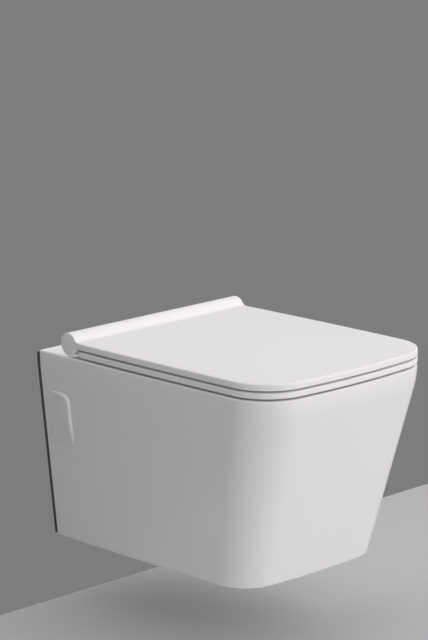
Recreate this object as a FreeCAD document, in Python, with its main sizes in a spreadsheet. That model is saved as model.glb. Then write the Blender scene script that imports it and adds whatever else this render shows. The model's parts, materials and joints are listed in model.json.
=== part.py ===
import FreeCAD, Part
import math
import os
import re
import Sketcher
from FreeCAD import Placement, Rotation, Vector

# Wall-hung rimless toilet with a slim seat and lid, in millimetres.
# X runs along the wall, Y points into the wall and Z is up.
# The origin lies on the wall plane, midway between the two fixing studs.
# Sizes named "..._at" and "..._from_wall" are distances out from the wall plane.

sizes = {
    # pan, outside
    "deck_height": 90,          # top of the rim above the stud line
    "pan_height": 305,
    "pan_length": 500,
    "gasket_thickness": 5,
    "rim_half": 185,            # widest half width of rim, seat and lid
    "rim_widest_at": 290,
    "rim_side_radius": 8000,
    "rim_front_radius": 1200,
    "rim_corner": 73,
    "rim_band": 18,             # upright band under the rim
    "base_half": 151,
    "base_side_radius": 16000,
    "base_length": 421,
    "base_corner": 58,
    "foot_fillet": 3,
    "rim_fillet": 2.5,
    # pan, walls and bowl
    "shroud_wall": 11,
    "deck_thickness": 14,
    "back_wall": 14,
    "rim_side_width": 47,
    "rim_front_width": 32,
    "bowl_back_at": 155,
    "bowl_front_round": 0.76,   # corner radius over the opening's half width
    "bowl_back_round": 0.435,
    "lip_height": 26,
    "ledge_height": 18,
    "ledge_undercut": 6,
    "bowl_wall": 10,
    "sump_half": 34,
    "sump_front_at": 350,
    "sump_back_at": 290,
    "sump_corner": 26,
    "sump_floor": 22,
    # water trap and outlet
    "trap_radius": 27,
    "trap_wall": 8,
    "trap_bend": 40,
    "trap_rise_at": 232,
    "weir_at": 150,
    "weir_depth": 150,          # middle of the trap at its crest, below the rim
    "trap_fall_at": 105,
    "outlet_drop": 100,         # outlet axis below the stud line
    "outlet_bore": 42,
    "spigot_radius": 51,
    "spigot_root_at": 80,
    "spigot_end_at": 15,
    # flush inlet
    "inlet_under_rim": 55,      # inlet axis below the top of the rim
    "inlet_bore": 27.5,
    "horn_wall": 9,
    "horn_depth_at": 75,
    "flush_way": 20,
    "flush_way_wall": 9,
    "web_width": 20,
    # connection pipes
    "flush_pipe_radius": 22.5,
    "pipe_wall": 3,
    "pipe_past_wall": 60,
    "flush_pipe_end_at": 62,
    "pipe_bead_height": 2,      # ring that marks how far the wall fitting goes on
    "pipe_bead_width": 3,
    "inlet_seal_length": 32,
    "waste_pipe_radius": 45,
    "socket_bore": 55.5,
    "socket_wall": 3.5,
    "socket_end_at": 52,
    "socket_step_at": 9,
    "outlet_seal_length": 14,
    "fit_clearance": 0.1,
    # wall fixing
    "stud_spacing": 180,
    "stud_radius": 6,           # in the wall
    "stud_front_radius": 5,     # inside the pan
    "stud_past_wall": 55,
    "stud_end_past_nut": 8,
    "stud_hole": 9.5,
    "sleeve_flange_radius": 15,
    "sleeve_flange": 2,
    "washer_radius": 14,
    "washer_thickness": 2.5,
    "nut_across_flats": 17,
    "nut_height": 8,
    "gasket_inset": 0.5,
    "gasket_hole_margin": 3,
    # side covers
    "cover_back_at": 17,
    "cover_width": 52.5,
    "cover_height": 88,
    "cover_top_depth": 60.5,    # top edge below the rim
    "cover_corner": 16,
    "cover_proud": 3.6,
    "cover_overlap": 5,
    "cover_plug": 7,
    "cover_plug_wall": 2.5,
    "cover_edge": 3,
    "cover_clearance": 0.3,
    # seat and lid
    "seat_gap": 3,
    "seat_thickness": 10,
    "lid_gap": 2.5,
    "lid_thickness": 10,
    "seat_back_at": 102,
    "seat_side_width": 73,
    "seat_front_width": 65,
    "seat_open_back_at": 172,
    "seat_front_round": 0.8,    # corner radius over the opening's half width
    "seat_back_round": 0.49,
    "slab_edge": 2.2,
    "seat_opening": 95,         # degrees of travel
    "lid_opening": 95,
    # hinge
    "hinge_from_wall": 75,
    "hinge_spacing": 155,
    "barrel_radius": 17.5,
    "barrel_bore": 12.5,
    "barrel_end_wall": 8,
    "barrel_slot_half": 7,
    "barrel_fillet": 8,
    "eye_radius": 10,
    "axle_radius": 4,
    "running_clearance": 0.05,
    "block_width": 18,
    "block_nose": 10,
    "block_top_clearance": 1,
    "web_setback": 11,
    "lug_width": 15,
    "lug_root": 12,
    "lug_foot_setback": 4,
    "lug_top_setback": 2,
    "eye_root": 9,              # where an arm's top meets its eye, from the axis
    "side_clearance": 1,
    "recess_clearance": 4,
    "notch_margin": 3,
    "bush_width": 6,
    "damper_length": 30,
    "seat_damper_radius": 8,
    "pin_offset": 18,           # upright pin in front of the hinge axis
    "pin_radius": 4,
    "pin_height": 9.5,
    "pin_headroom": 0.6,
    "base_radius": 22,
    "base_thickness": 1.5,
    "pad_thickness": 1,
    "rest_clearance": 0.2,
    "screw_offset": 5,          # seat screw in front of the hinge axis
    "screw_radius": 3,
    "screw_head_radius": 5.5,
    "screw_head_height": 2.2,
    "screw_length": 44,
    "plug_hole": 7.5,
    "plug_bulge_radius": 10,
    "plug_bulge": 18,
    "plug_nut_across_flats": 11,
    "plug_nut_height": 8,
    "button_radius": 3.5,
    "button_length": 4.2,
    "button_proud": 1.4,
    "button_pocket": 4.6,
    "button_drop": 6,           # button axis below the block's top
    # buffers
    "buffer_width": 12,
    "buffer_length": 34,
    "buffer_corner": 4.8,
    "buffer_stem_radius": 2.5,
    "buffer_stem": 5,
    "seat_buffer_inset": 25,
    "seat_buffer_front_at": 395,
    "seat_buffer_back_at": 200,
    "lid_buffer_inset": 36,
    "lid_buffer_front_at": 425,
    "lid_buffer_back_at": 225,
    # flush distributor
    "shield_half": 40,
    "shield_height": 34,
    "shield_thickness": 4,
    "shield_clearance": 2.5,    # off the bowl's back at the shield's lower edge
    "shield_corner": 9,
    "distributor_wall": 3,
    "distributor_tail": 42,
    "shield_rib": 5,
    "shield_lift": 6,           # shield's middle above the inlet axis
    # how far a cut runs past the face it opens
    "cut_past": 1,
}

doc = FreeCAD.newDocument("wall_hung_toilet")
sheet = doc.addObject("Spreadsheet::Sheet", "Sizes")
for row, (alias, value) in enumerate(sizes.items(), start=1):
    sheet.set(f"A{row}", alias)
    sheet.set(f"B{row}", str(value))
    sheet.setAlias(f"B{row}", alias)
doc.recompute()

alias_words = re.compile(r"\b(" + "|".join(sizes) + r")\b")

# Levels and places that several pieces share, as formulas on the sheet.
seat_under = "(deck_height + seat_gap)"
seat_top = "(deck_height + seat_gap + seat_thickness)"
lid_under = f"({seat_top} + lid_gap)"
lid_top = f"({lid_under} + lid_thickness)"
hinge_z = f"({lid_under} + lid_thickness / 2)"
base_z = "(deck_height - pan_height)"
front_at = "(gasket_thickness + pan_length)"
base_front_at = "(gasket_thickness + base_length)"
bowl_half = "(rim_half - rim_side_width)"
bowl_front_at = f"({front_at} - rim_front_width)"
bowl_front_corner = f"({bowl_half} * bowl_front_round)"
bowl_back_corner = f"({bowl_half} * bowl_back_round)"
bowl_depth = "(pan_height - sump_floor)"
ledge_depth = "(lip_height + ledge_height)"
trap_low_z = f"({base_z} + sump_floor + trap_radius)"
outlet_z = "(-outlet_drop)"
inlet_z = "(deck_height - inlet_under_rim)"
horn_radius = "(inlet_bore + horn_wall)"
socket_radius = "(socket_bore + socket_wall)"
back_inside_at = "(gasket_thickness + back_wall)"
deck_under = "(deck_height - deck_thickness)"
block_bottom = "(deck_height + pad_thickness + base_thickness + rest_clearance)"
block_top = f"({lid_under} - block_top_clearance)"
pin_at = "(hinge_from_wall + pin_offset)"
block_front_at = f"({pin_at} + block_nose)"
screw_at = "(hinge_from_wall + screw_offset)"
hinge_x = "(hinge_spacing / 2)"
block_inner_x = f"({hinge_x} - block_width / 2)"
block_outer_x = f"({hinge_x} + block_width / 2)"
lug_inner_x = f"({block_inner_x} - side_clearance - lug_width)"
lug_outer_x = f"({block_outer_x} + side_clearance + lug_width)"
bush_inner_x = f"({lug_inner_x} - side_clearance - bush_width)"
bush_outer_x = f"({lug_outer_x} + side_clearance + bush_width)"
damper_end_x = f"({bush_outer_x} + side_clearance + damper_length)"
nut_start_at = f"({back_inside_at} + sleeve_flange + washer_thickness)"


def cells(expression):
    return alias_words.sub(r"Sizes.\1", str(expression))


def number(expression):
    value = sheet.evalExpression(cells(expression))
    return float(getattr(value, "Value", value))


def bind(item, formulas):
    for name, expression in formulas.items():
        item.setExpression(name, cells(expression))


def place(item, x, y, z):
    bind(item, {"Placement.Base.x": x, "Placement.Base.y": y, "Placement.Base.z": z})


turns = {
    "x": Rotation(Vector(0, 1, 0), 90),
    "y": Rotation(Vector(1, 0, 0), -90),
    "z": Rotation(),
}


def seat_on(item, axis, low, across):
    corners = {
        "x": (low, across[0], across[1]),
        "y": (across[0], low, across[1]),
        "z": (across[0], across[1], low),
    }
    place(item, *corners[axis])


# A round bar along one axis from low to high, with its middle at across.
def rod(name, axis, radius, low, high, across):
    item = doc.addObject("Part::Cylinder", name)
    item.Placement = Placement(Vector(), turns[axis])
    bind(item, {"Radius": radius, "Height": f"({high}) - ({low})"})
    seat_on(item, axis, low, across)
    return item


def hexagon(name, axis, across_flats, low, high, across):
    item = doc.addObject("Part::Prism", name)
    item.Polygon = 6
    item.Placement = Placement(Vector(), turns[axis])
    bind(item, {"Circumradius": f"({across_flats}) / sqrt(3)", "Height": f"({high}) - ({low})"})
    seat_on(item, axis, low, across)
    return item


def block(name, x_span, y_span, z_span):
    item = doc.addObject("Part::Box", name)
    spans = {"Length": x_span, "Width": y_span, "Height": z_span}
    bind(item, {side: f"({high}) - ({low})" for side, (low, high) in spans.items()})
    place(item, x_span[0], y_span[0], z_span[0])
    return item


def fuse(name, *items):
    item = doc.addObject("Part::MultiFuse", name)
    item.Shapes = list(items)
    item.Refine = True
    return item


def cut(name, base, *tools):
    item = doc.addObject("Part::Cut", name)
    item.Base = base
    item.Tool = tools[0] if len(tools) == 1 else fuse(f"{name}_cuts", *tools)
    item.Refine = True
    return item


def common(name, base, tool):
    item = doc.addObject("Part::Common", name)
    item.Base = base
    item.Tool = tool
    item.Refine = True
    return item


def group(name, *items):
    item = doc.addObject("Part::Compound", name)
    item.Links = list(items)
    return item


def mirrored(name, source):
    item = doc.addObject("Part::Mirroring", name)
    item.Source = source
    item.Normal = Vector(1, 0, 0)
    return item


# The same thing on both sides of the middle plane, as one group of solids.
def pair(name, source):
    return group(name, source, mirrored(f"{name}_other_side", source))


def tube(name, axis, outer, inner, low, high, across):
    body = rod(f"{name}_outside", axis, outer, low, high, across)
    bore = rod(f"{name}_bore", axis, inner, f"({low}) - cut_past", f"({high}) + cut_past", across)
    return cut(name, body, bore)


def fillet(name, base, radius, wanted):
    doc.recompute()
    item = doc.addObject("Part::Fillet", name)
    item.Base = base
    size = number(radius)
    chosen = [i for i, edge in enumerate(base.Shape.Edges, start=1) if wanted(edge)]
    item.Edges = [(i, size, size) for i in chosen]
    return item


tolerance = 0.01


# True for the edges that lie flat at one height, apart from those at or behind a given line.
def edges_at(height, back_at):
    z = number(height)
    y_limit = -number(back_at) - tolerance

    def wanted(edge):
        box = edge.BoundBox
        level = abs(box.ZMin - z) < tolerance and abs(box.ZMax - z) < tolerance
        return level and box.YMin < y_limit
    return wanted


upright_along_x = Rotation(Vector(0, 1, 0), Vector(0, 0, 1), Vector(1, 0, 0), "XYZ")
upright_along_y = Rotation(Vector(1, 0, 0), 90)


def new_sketch(name, turn, x="0", y="0", z="0"):
    sketch = doc.addObject("Sketcher::SketchObject", name)
    sketch.Placement = Placement(Vector(), turn)
    place(sketch, x, y, z)
    return sketch


def hold(sketch, kind, *where, expression=None):
    if expression is None:
        sketch.addConstraint(Sketcher.Constraint(kind, *where))
        return
    index = sketch.addConstraint(Sketcher.Constraint(kind, *where, number(expression)))
    sketch.setExpression(f"Constraints[{index}]", cells(expression))


# Holds a point of the sketch at a signed distance from the sketch's origin.
def hold_at(sketch, piece, end, across, up):
    for kind, expression, axis in (("DistanceX", across, -2), ("DistanceY", up, -1)):
        value = number(expression)
        if abs(value) < tolerance:
            hold(sketch, "PointOnObject", piece, end, axis)
        elif value > 0:
            hold(sketch, kind, -1, 1, piece, end, expression=expression)
        else:
            hold(sketch, kind, piece, end, -1, 1, expression=f"-({expression})")


# A closed outline through the given corners, each a pair of formulas.
def polygon(name, turn, corners, x="0", y="0", z="0"):
    sketch = new_sketch(name, turn, x, y, z)
    points = [Vector(number(across), number(up)) for across, up in corners]
    for start, end in zip(points, points[1:] + points[:1]):
        sketch.addGeometry(Part.LineSegment(start, end))
    count = len(points)
    for i, (across, up) in enumerate(corners):
        hold(sketch, "Coincident", (i - 1) % count, 2, i, 1)
        hold_at(sketch, i, 1, across, up)
    return sketch


def extrude(name, sketch, length):
    item = doc.addObject("Part::Extrusion", name)
    item.Base = sketch
    item.DirMode = "Normal"
    item.Solid = True
    bind(item, {"LengthFwd": length})
    return item


def loft(name, sketches):
    item = doc.addObject("Part::Loft", name)
    item.Sections = sketches
    item.Solid = True
    item.Ruled = True
    return item


def arc_between(middle, start, end):
    first = math.atan2(start.y - middle.y, start.x - middle.x)
    last = math.atan2(end.y - middle.y, end.x - middle.x)
    circle = Part.Circle(middle, Vector(0, 0, 1), (start - middle).Length)
    return Part.ArcOfCircle(circle, first, last if last > first else last + 2 * math.pi)


def mirror_x(point):
    return Vector(-point.x, point.y)


# Crossing of two circles, on the right of the line from the first middle to the second.
def circle_crossing(first, first_radius, second, second_radius):
    way = second - first
    apart = way.Length
    along = (first_radius ** 2 - second_radius ** 2 + apart ** 2) / (2 * apart)
    aside = math.sqrt(first_radius ** 2 - along ** 2)
    way.normalize()
    return first + way * along + Vector(way.y, -way.x) * aside


# Half width, at a distance from the wall, of a side that bows out as one large arc.
def half_at(half, side_radius, distance):
    bow = f"sqrt(({side_radius})^2 - (rim_widest_at - ({distance}))^2)"
    return f"(({half}) - ({side_radius}) + {bow})"


# Plan outline of pan, seat and lid: straight back, bowed sides, round corners, crowned front.
def shell_outline(name, level, back, front, half, side_radius, corner, front_radius):
    sketch = new_sketch(name, Rotation(), z=level)
    side_r, corner_r, front_r = number(side_radius), number(corner), number(front_radius)
    side_middle = Vector(number(half) - side_r, -number("rim_widest_at"))
    front_middle = Vector(0, front_r - number(front))
    corner_middle = circle_crossing(front_middle, front_r - corner_r, side_middle, side_r - corner_r)
    if corner_middle.x < 0 or corner_middle.y > side_middle.y:
        corner_middle = circle_crossing(side_middle, side_r - corner_r, front_middle, front_r - corner_r)
    side_way = (corner_middle - side_middle).normalize()
    front_way = (corner_middle - front_middle).normalize()
    side_end = side_middle + side_way * side_r
    front_end = front_middle + front_way * front_r
    back_end = Vector(number(half_at(half, side_radius, back)), -number(back))
    sketch.addGeometry(arc_between(side_middle, side_end, back_end))
    sketch.addGeometry(arc_between(corner_middle, front_end, side_end))
    sketch.addGeometry(arc_between(front_middle, mirror_x(front_end), front_end))
    sketch.addGeometry(arc_between(mirror_x(corner_middle), mirror_x(side_end), mirror_x(front_end)))
    sketch.addGeometry(arc_between(mirror_x(side_middle), mirror_x(back_end), mirror_x(side_end)))
    sketch.addGeometry(Part.LineSegment(back_end, mirror_x(back_end)))
    for piece in range(4):
        hold(sketch, "Tangent", piece, 1, piece + 1, 2)
    hold(sketch, "Coincident", 0, 2, 5, 1)
    hold(sketch, "Coincident", 4, 1, 5, 2)
    hold(sketch, "Radius", 0, expression=side_radius)
    hold(sketch, "Radius", 1, expression=corner)
    hold(sketch, "Radius", 2, expression=front_radius)
    hold(sketch, "Equal", 0, 4)
    hold(sketch, "Equal", 1, 3)
    hold_at(sketch, 0, 3, f"({half}) - ({side_radius})", "-rim_widest_at")
    hold(sketch, "Symmetric", 0, 3, 4, 3, -2)
    hold_at(sketch, 2, 3, "0", f"({front_radius}) - ({front})")
    hold(sketch, "Horizontal", 5)
    hold(sketch, "DistanceY", 5, 1, -1, 1, expression=back)
    return sketch


# The rim's outline, moved in by an inset, from a given back line.
def rim_outline(name, level, back, inset="0"):
    return shell_outline(
        name, level, back, f"{front_at} - ({inset})", f"rim_half - ({inset})",
        f"rim_side_radius - ({inset})", f"rim_corner - ({inset})", f"rim_front_radius - ({inset})")


def base_outline(name, level, back, inset="0"):
    return shell_outline(
        name, level, back, f"{base_front_at} - ({inset})", f"base_half - ({inset})",
        f"base_side_radius - ({inset})", f"base_corner - ({inset})", f"rim_front_radius - ({inset})")


# A rectangle with round corners, one radius at its back and another at its front.
def ring_outline(name, turn, half, back, front, back_corner, front_corner, x="0", y="0", z="0"):
    sketch = new_sketch(name, turn, x, y, z)
    half_n, back_n, front_n = number(half), -number(back), -number(front)
    back_r, front_r = number(back_corner), number(front_corner)
    right_back = Vector(half_n - back_r, back_n - back_r)
    right_front = Vector(half_n - front_r, front_n + front_r)
    left_back, left_front = mirror_x(right_back), mirror_x(right_front)
    corners = (
        (right_back, back_r, Vector(1, 0), Vector(0, 1)),
        (left_back, back_r, Vector(0, 1), Vector(-1, 0)),
        (left_front, front_r, Vector(-1, 0), Vector(0, -1)),
        (right_front, front_r, Vector(0, -1), Vector(1, 0)),
    )
    ends = [(middle + first * r, middle + last * r) for middle, r, first, last in corners]
    for i, (middle, _, _, _) in enumerate(corners):
        sketch.addGeometry(Part.LineSegment(ends[i - 1][1], ends[i][0]))
        sketch.addGeometry(arc_between(middle, *ends[i]))
    for piece in range(8):
        hold(sketch, "Tangent", piece, 2, (piece + 1) % 8, 1)
    for line, kind in ((0, "Vertical"), (2, "Horizontal"), (4, "Vertical"), (6, "Horizontal")):
        hold(sketch, kind, line)
    hold(sketch, "Radius", 1, expression=back_corner)
    hold(sketch, "Radius", 7, expression=front_corner)
    hold(sketch, "Equal", 1, 3)
    hold(sketch, "Equal", 5, 7)
    hold(sketch, "DistanceX", -1, 1, 0, 1, expression=half)
    hold(sketch, "DistanceX", 4, 1, -1, 1, expression=half)
    for line, expression in ((2, back), (6, front)):
        if number(expression) > 0:
            hold(sketch, "DistanceY", line, 1, -1, 1, expression=expression)
        else:
            hold(sketch, "DistanceY", -1, 1, line, 1, expression=f"-({expression})")
    return sketch


# Bowl sections from the lip down to the sump: each gives its depth below the rim and its formulas.
sump_shares = (0.3, 0.55, 0.8, 1.0)     # how far down from the ledge to the sump floor
side_curve = 0.75
back_curve = 0.8


def bowl_section(name, depth, narrowing, falling, grow):
    narrow = f"{narrowing:.4f}"
    fall = f"{falling:.4f}"
    half = f"sump_half + ({bowl_half} + ledge_undercut - sump_half) * {narrow} + {grow}"
    back = f"bowl_back_at - ledge_undercut + (sump_back_at - bowl_back_at + ledge_undercut) * {fall} - {grow}"
    front = f"sump_front_at + ({bowl_front_at} + ledge_undercut - sump_front_at) * {narrow} + {grow}"
    back_corner = f"sump_corner + ({bowl_back_corner} - sump_corner) * {narrow} + {grow}"
    front_corner = f"sump_corner + ({bowl_front_corner} - sump_corner) * {narrow} + {grow}"
    return ring_outline(
        name, Rotation(), half, back, front, back_corner, front_corner, z=f"deck_height - ({depth})")


def bowl_sections(name, grow):
    sections = [bowl_section(f"{name}_ledge", ledge_depth, 1.0, 0.0, grow)]
    for share in sump_shares:
        depth = f"{ledge_depth} + ({bowl_depth} - {ledge_depth}) * {share} + ({grow}) * {share}"
        narrowing = (1 - share) ** side_curve
        falling = share ** back_curve
        sections.append(bowl_section(f"{name}_{share}", depth, narrowing, falling, grow))
    return sections


def lip_section(name, depth, grow):
    return ring_outline(
        name, Rotation(), f"{bowl_half} + {grow}", f"bowl_back_at - {grow}", f"{bowl_front_at} + {grow}",
        f"{bowl_back_corner} + {grow}", f"{bowl_front_corner} + {grow}", z=f"deck_height - ({depth})")


def bowl_hollow():
    over_rim = lip_section("bowl_mouth", "-lip_height", "0")
    lip = lip_section("bowl_lip", "lip_height", "0")
    return loft("bowl_hollow", [over_rim, lip] + bowl_sections("bowl", "0"))


def bowl_outside():
    top = lip_section("bowl_outside_top", "deck_thickness / 2", "(ledge_undercut + bowl_wall)")
    return loft("bowl_outside", [top] + bowl_sections("bowl_outside", "bowl_wall"))


# A round tube along straight runs that are joined by tangent arcs.
def bent_tube(name, radius, corners, bend):
    points = [Vector(0, -number(at), number(z)) for at, z in corners]
    edges = []
    start = points[0]
    for before, corner, after in zip(points, points[1:], points[2:]):
        way_in = (before - corner).normalize()
        way_out = (after - corner).normalize()
        half_turn = way_in.getAngle(way_out) / 2
        reach = number(bend) / math.tan(half_turn)
        middle_way = (way_in + way_out).normalize()
        middle = corner + middle_way * (number(bend) / math.sin(half_turn))
        arc_start = corner + way_in * reach
        arc_end = corner + way_out * reach
        edges.append(Part.LineSegment(start, arc_start).toShape())
        edges.append(Part.Arc(arc_start, middle - middle_way * number(bend), arc_end).toShape())
        start = arc_end
    edges.append(Part.LineSegment(start, points[-1]).toShape())
    circle = Part.Circle(points[0], (points[1] - points[0]).normalize(), number(radius))
    item = doc.addObject("Part::Feature", name)
    item.Shape = Part.Wire(edges).makePipeShell([Part.Wire([circle.toShape()])], True, False)
    return item


def trap_tube(name, radius):
    corners = (
        ("(sump_front_at + sump_back_at) / 2", trap_low_z),
        ("trap_rise_at", trap_low_z),
        ("weir_at", "deck_height - weir_depth"),
        ("trap_fall_at", outlet_z),
        ("(spigot_root_at + spigot_end_at) / 2", outlet_z),
    )
    return bent_tube(name, radius, corners, "trap_bend")


def shroud():
    back = "gasket_thickness"
    shoulder = rim_outline("shroud_shoulder", "deck_height - rim_band", back)
    skirt = loft("shroud_skirt", [base_outline("shroud_foot", base_z, back), shoulder])
    band = extrude("shroud_band", shoulder, "rim_band")
    body = fuse("shroud_body", skirt, band)
    rounded = fillet("shroud_foot_rounded", body, "foot_fillet", edges_at(base_z, back))
    return fillet("shroud", rounded, "rim_fillet", edges_at("deck_height", back))


def shroud_hollow():
    floor = base_outline("hollow_floor", f"{base_z} + shroud_wall", back_inside_at, "shroud_wall")
    ceiling = rim_outline("hollow_ceiling", deck_under, back_inside_at, "shroud_wall")
    return loft("shroud_hollow", [floor, ceiling])


# Where the side of the pan lies at a distance from the wall and a depth below the rim.
def side_point(distance, depth):
    fall = (depth - number("rim_band")) / number("pan_height - rim_band")
    top = number(half_at("rim_half", "rim_side_radius", distance))
    foot = number(half_at("base_half", "base_side_radius", distance))
    return Vector(top + (foot - top) * fall, -distance, number("deck_height") - depth)


cover_middle_at = "(cover_back_at + cover_width / 2)"
cover_middle_depth = "(cover_top_depth + cover_height / 2)"


# Frame on the right side of the pan at the middle of the cover: X to the wall, Y up, Z outwards.
def cover_frame(outwards):
    at, depth = number(cover_middle_at), number(cover_middle_depth)
    step = number("cover_width") / 4
    to_wall = (side_point(at - step, depth) - side_point(at + step, depth)).normalize()
    upwards = (side_point(at, depth - step) - side_point(at, depth + step)).normalize()
    normal = to_wall.cross(upwards).normalize()
    turn = Rotation(to_wall, normal.cross(to_wall), normal, "XYZ")
    return Placement(side_point(at, depth) + normal * outwards, turn)


# A plate with round corners on the pan's side, from one distance off the surface to another.
def side_plate(name, shrink, start, end):
    width, height = f"(cover_width / 2 - {shrink})", f"(cover_height / 2 - {shrink})"
    corner = f"(cover_corner - {shrink})"
    sketch = ring_outline(f"{name}_outline", Rotation(), width, f"-{height}", height, corner, corner)
    for side in "xyz":
        sketch.setExpression(f"Placement.Base.{side}", None)
    sketch.Placement = cover_frame(number(start))
    return extrude(name, sketch, f"({end}) - ({start})")


def side_opening():
    return side_plate("side_opening", "cover_overlap", "-2 * shroud_wall", "shroud_wall")


def inlet_horn():
    across = ("0", inlet_z)
    horn = rod("inlet_horn", "y", horn_radius, "-horn_depth_at - horn_wall", "-spigot_end_at", across)
    way = rod(
        "flush_way_outside", "y", "flush_way + flush_way_wall", "-bowl_back_at", "-horn_depth_at", across)
    web = block(
        "inlet_web", ("-web_width / 2", "web_width / 2"), ("-bowl_back_at", f"-{back_inside_at}"),
        (inlet_z, deck_under))
    return horn, way, web


def inlet_bores():
    across = ("0", inlet_z)
    bore = rod("inlet_bore", "y", "inlet_bore", "-horn_depth_at", "0", across)
    shield_front = f"({shield_back()} + shield_thickness)"
    way = rod("flush_way", "y", "flush_way", f"-{shield_front}", "-horn_depth_at + cut_past", across)
    return bore, way


def stud_place(side):
    return (f"{side} * stud_spacing / 2", "0")


def back_opening():
    half = f"({socket_radius} + gasket_hole_margin)"
    top = f"{inlet_z} + {horn_radius} + gasket_hole_margin"
    return block(
        "back_opening", (f"-{half}", half), (f"-{back_inside_at} - cut_past", "0"),
        (f"{outlet_z} - {half}", top))


# The ceramic, in four solids that touch: outer shroud with rim, bowl, trap with outlet, and flush inlet.
def make_ceramic():
    outlet_across = ("0", outlet_z)
    bowl_body, hollow = bowl_outside(), bowl_hollow()
    trap_body = trap_tube("trap_outside", "trap_radius + trap_wall")
    trap_way = trap_tube("trap_way", "trap_radius")
    inlet_bore, flush_way = inlet_bores()
    shell = cut("shroud_shell", shroud(), shroud_hollow(), back_opening())
    cover_hole = side_opening()
    tools = [bowl_body, hollow, trap_body, cover_hole, mirrored("side_opening_left", cover_hole)]
    for side in (1, -1):
        tools.append(rod(
            f"stud_hole_{side + 1}", "y", "stud_hole", f"-{back_inside_at} - cut_past", "0", stud_place(side)))
        tools.append(rod(
            f"plug_hole_{side + 1}", "z", "plug_hole", f"{deck_under} - cut_past", "deck_height + cut_past",
            (f"{side} * {hinge_x}", f"-{screw_at}")))
    spigot = rod("outlet_spigot", "y", "spigot_radius", "-spigot_root_at", "-spigot_end_at", outlet_across)
    spigot_floor = "(spigot_root_at - spigot_radius + outlet_bore)"
    outlet = rod("outlet_bore", "y", "outlet_bore", f"-{spigot_floor}", "0", outlet_across)
    return [
        cut("pan", shell, *tools),
        cut("pan_bowl", bowl_body, hollow, trap_way, flush_way),
        cut("pan_trap", fuse("trap_solid", trap_body, spigot), bowl_body, trap_way, outlet),
        cut("pan_inlet", fuse("inlet_solid", *inlet_horn()), bowl_body, inlet_bore, flush_way),
    ]


shield_middle_z = f"({inlet_z} + shield_lift)"


# How far the bowl's back has come forward at the shield's lower edge, plus a clearance.
def shield_back():
    depth = f"(deck_height - {shield_middle_z} + shield_height / 2 - {ledge_depth})"
    slope = f"{sump_shares[0] ** back_curve:.4f} / {sump_shares[0]}"
    fall = f"{depth} / ({bowl_depth} - {ledge_depth}) * {slope}"
    reach = "(sump_back_at - bowl_back_at + ledge_undercut)"
    return f"(bowl_back_at - ledge_undercut + {reach} * {fall} + shield_clearance)"


# Plastic insert behind the bowl that turns the flush to both sides under the lip.
def make_flush_distributor():
    across = ("0", inlet_z)
    tail_radius = "(flush_way - fit_clearance)"
    tail_end = f"({shield_back()} - distributor_tail)"
    tail = tube(
        "distributor_tail_tube", "y", tail_radius, f"{tail_radius} - distributor_wall",
        "-(bowl_back_at - ledge_undercut)", f"-{tail_end}", across)
    half_height = "(shield_height / 2)"
    outline = ring_outline(
        "shield_outline", upright_along_y, "shield_half", f"-{half_height}", half_height,
        "shield_corner", "shield_corner", y=f"-{shield_back()}", z=shield_middle_z)
    shield = extrude("shield", outline, "shield_thickness")
    ribs = [block(
        f"shield_rib_{i}", ("-shield_rib / 2", "shield_rib / 2"), (f"-{shield_back()}", f"-{tail_end}"), span)
        for i, span in enumerate((
            (f"{inlet_z} + {tail_radius} - distributor_wall", f"{inlet_z} + {tail_radius} - fit_clearance"),
            (f"{inlet_z} - {tail_radius} + fit_clearance", f"{inlet_z} - {tail_radius} + distributor_wall")))]
    return fuse("flush_distributor", tail, shield, *ribs)


def make_wall_gasket():
    half_top = f"({half_at('rim_half', 'rim_side_radius', 'gasket_thickness')} - gasket_inset)"
    half_foot = f"({half_at('base_half', 'base_side_radius', 'gasket_thickness')} - gasket_inset)"
    top, foot = "deck_height - gasket_inset", f"{base_z} + gasket_inset + foot_fillet"
    shoulder = "deck_height - rim_band"
    right = [(half_foot, foot), (half_top, shoulder), (half_top, top)]
    left = [(f"-{across}", up) for across, up in reversed(right)]
    sheet_outline = polygon("gasket_outline", upright_along_y, right + left)
    body = extrude("gasket_sheet", sheet_outline, "gasket_thickness")
    holes = [
        rod("gasket_inlet_hole", "y", horn_radius, "-gasket_thickness - cut_past", "cut_past",
        ("0", inlet_z)),
        rod("gasket_outlet_hole", "y", f"{socket_radius} + gasket_hole_margin",
            "-gasket_thickness - cut_past", "cut_past", ("0", outlet_z)),
    ]
    for side in (1, -1):
        holes.append(rod(
            f"gasket_stud_hole_{side + 1}", "y", "stud_hole + gasket_hole_margin",
            "-gasket_thickness - cut_past", "cut_past", stud_place(side)))
    return cut("wall_gasket", body, *holes)


def make_flush_pipe():
    across = ("0", inlet_z)
    wall_tube = rod(
        "flush_pipe_tube", "y", "flush_pipe_radius", "-flush_pipe_end_at", "pipe_past_wall", across)
    bead = rod("flush_pipe_bead", "y", "flush_pipe_radius + pipe_bead_height", "0", "pipe_bead_width", across)
    bore = rod(
        "flush_pipe_bore", "y", "flush_pipe_radius - pipe_wall", "-flush_pipe_end_at - cut_past",
        "pipe_past_wall + cut_past", across)
    return cut("flush_pipe", fuse("flush_pipe_body", wall_tube, bead), bore)


def make_inlet_seal():
    outer = "inlet_bore - fit_clearance"
    inner = "flush_pipe_radius + fit_clearance"
    return tube(
        "inlet_seal", "y", outer, inner, "-spigot_end_at - inlet_seal_length", "-spigot_end_at",
        ("0", inlet_z))


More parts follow.
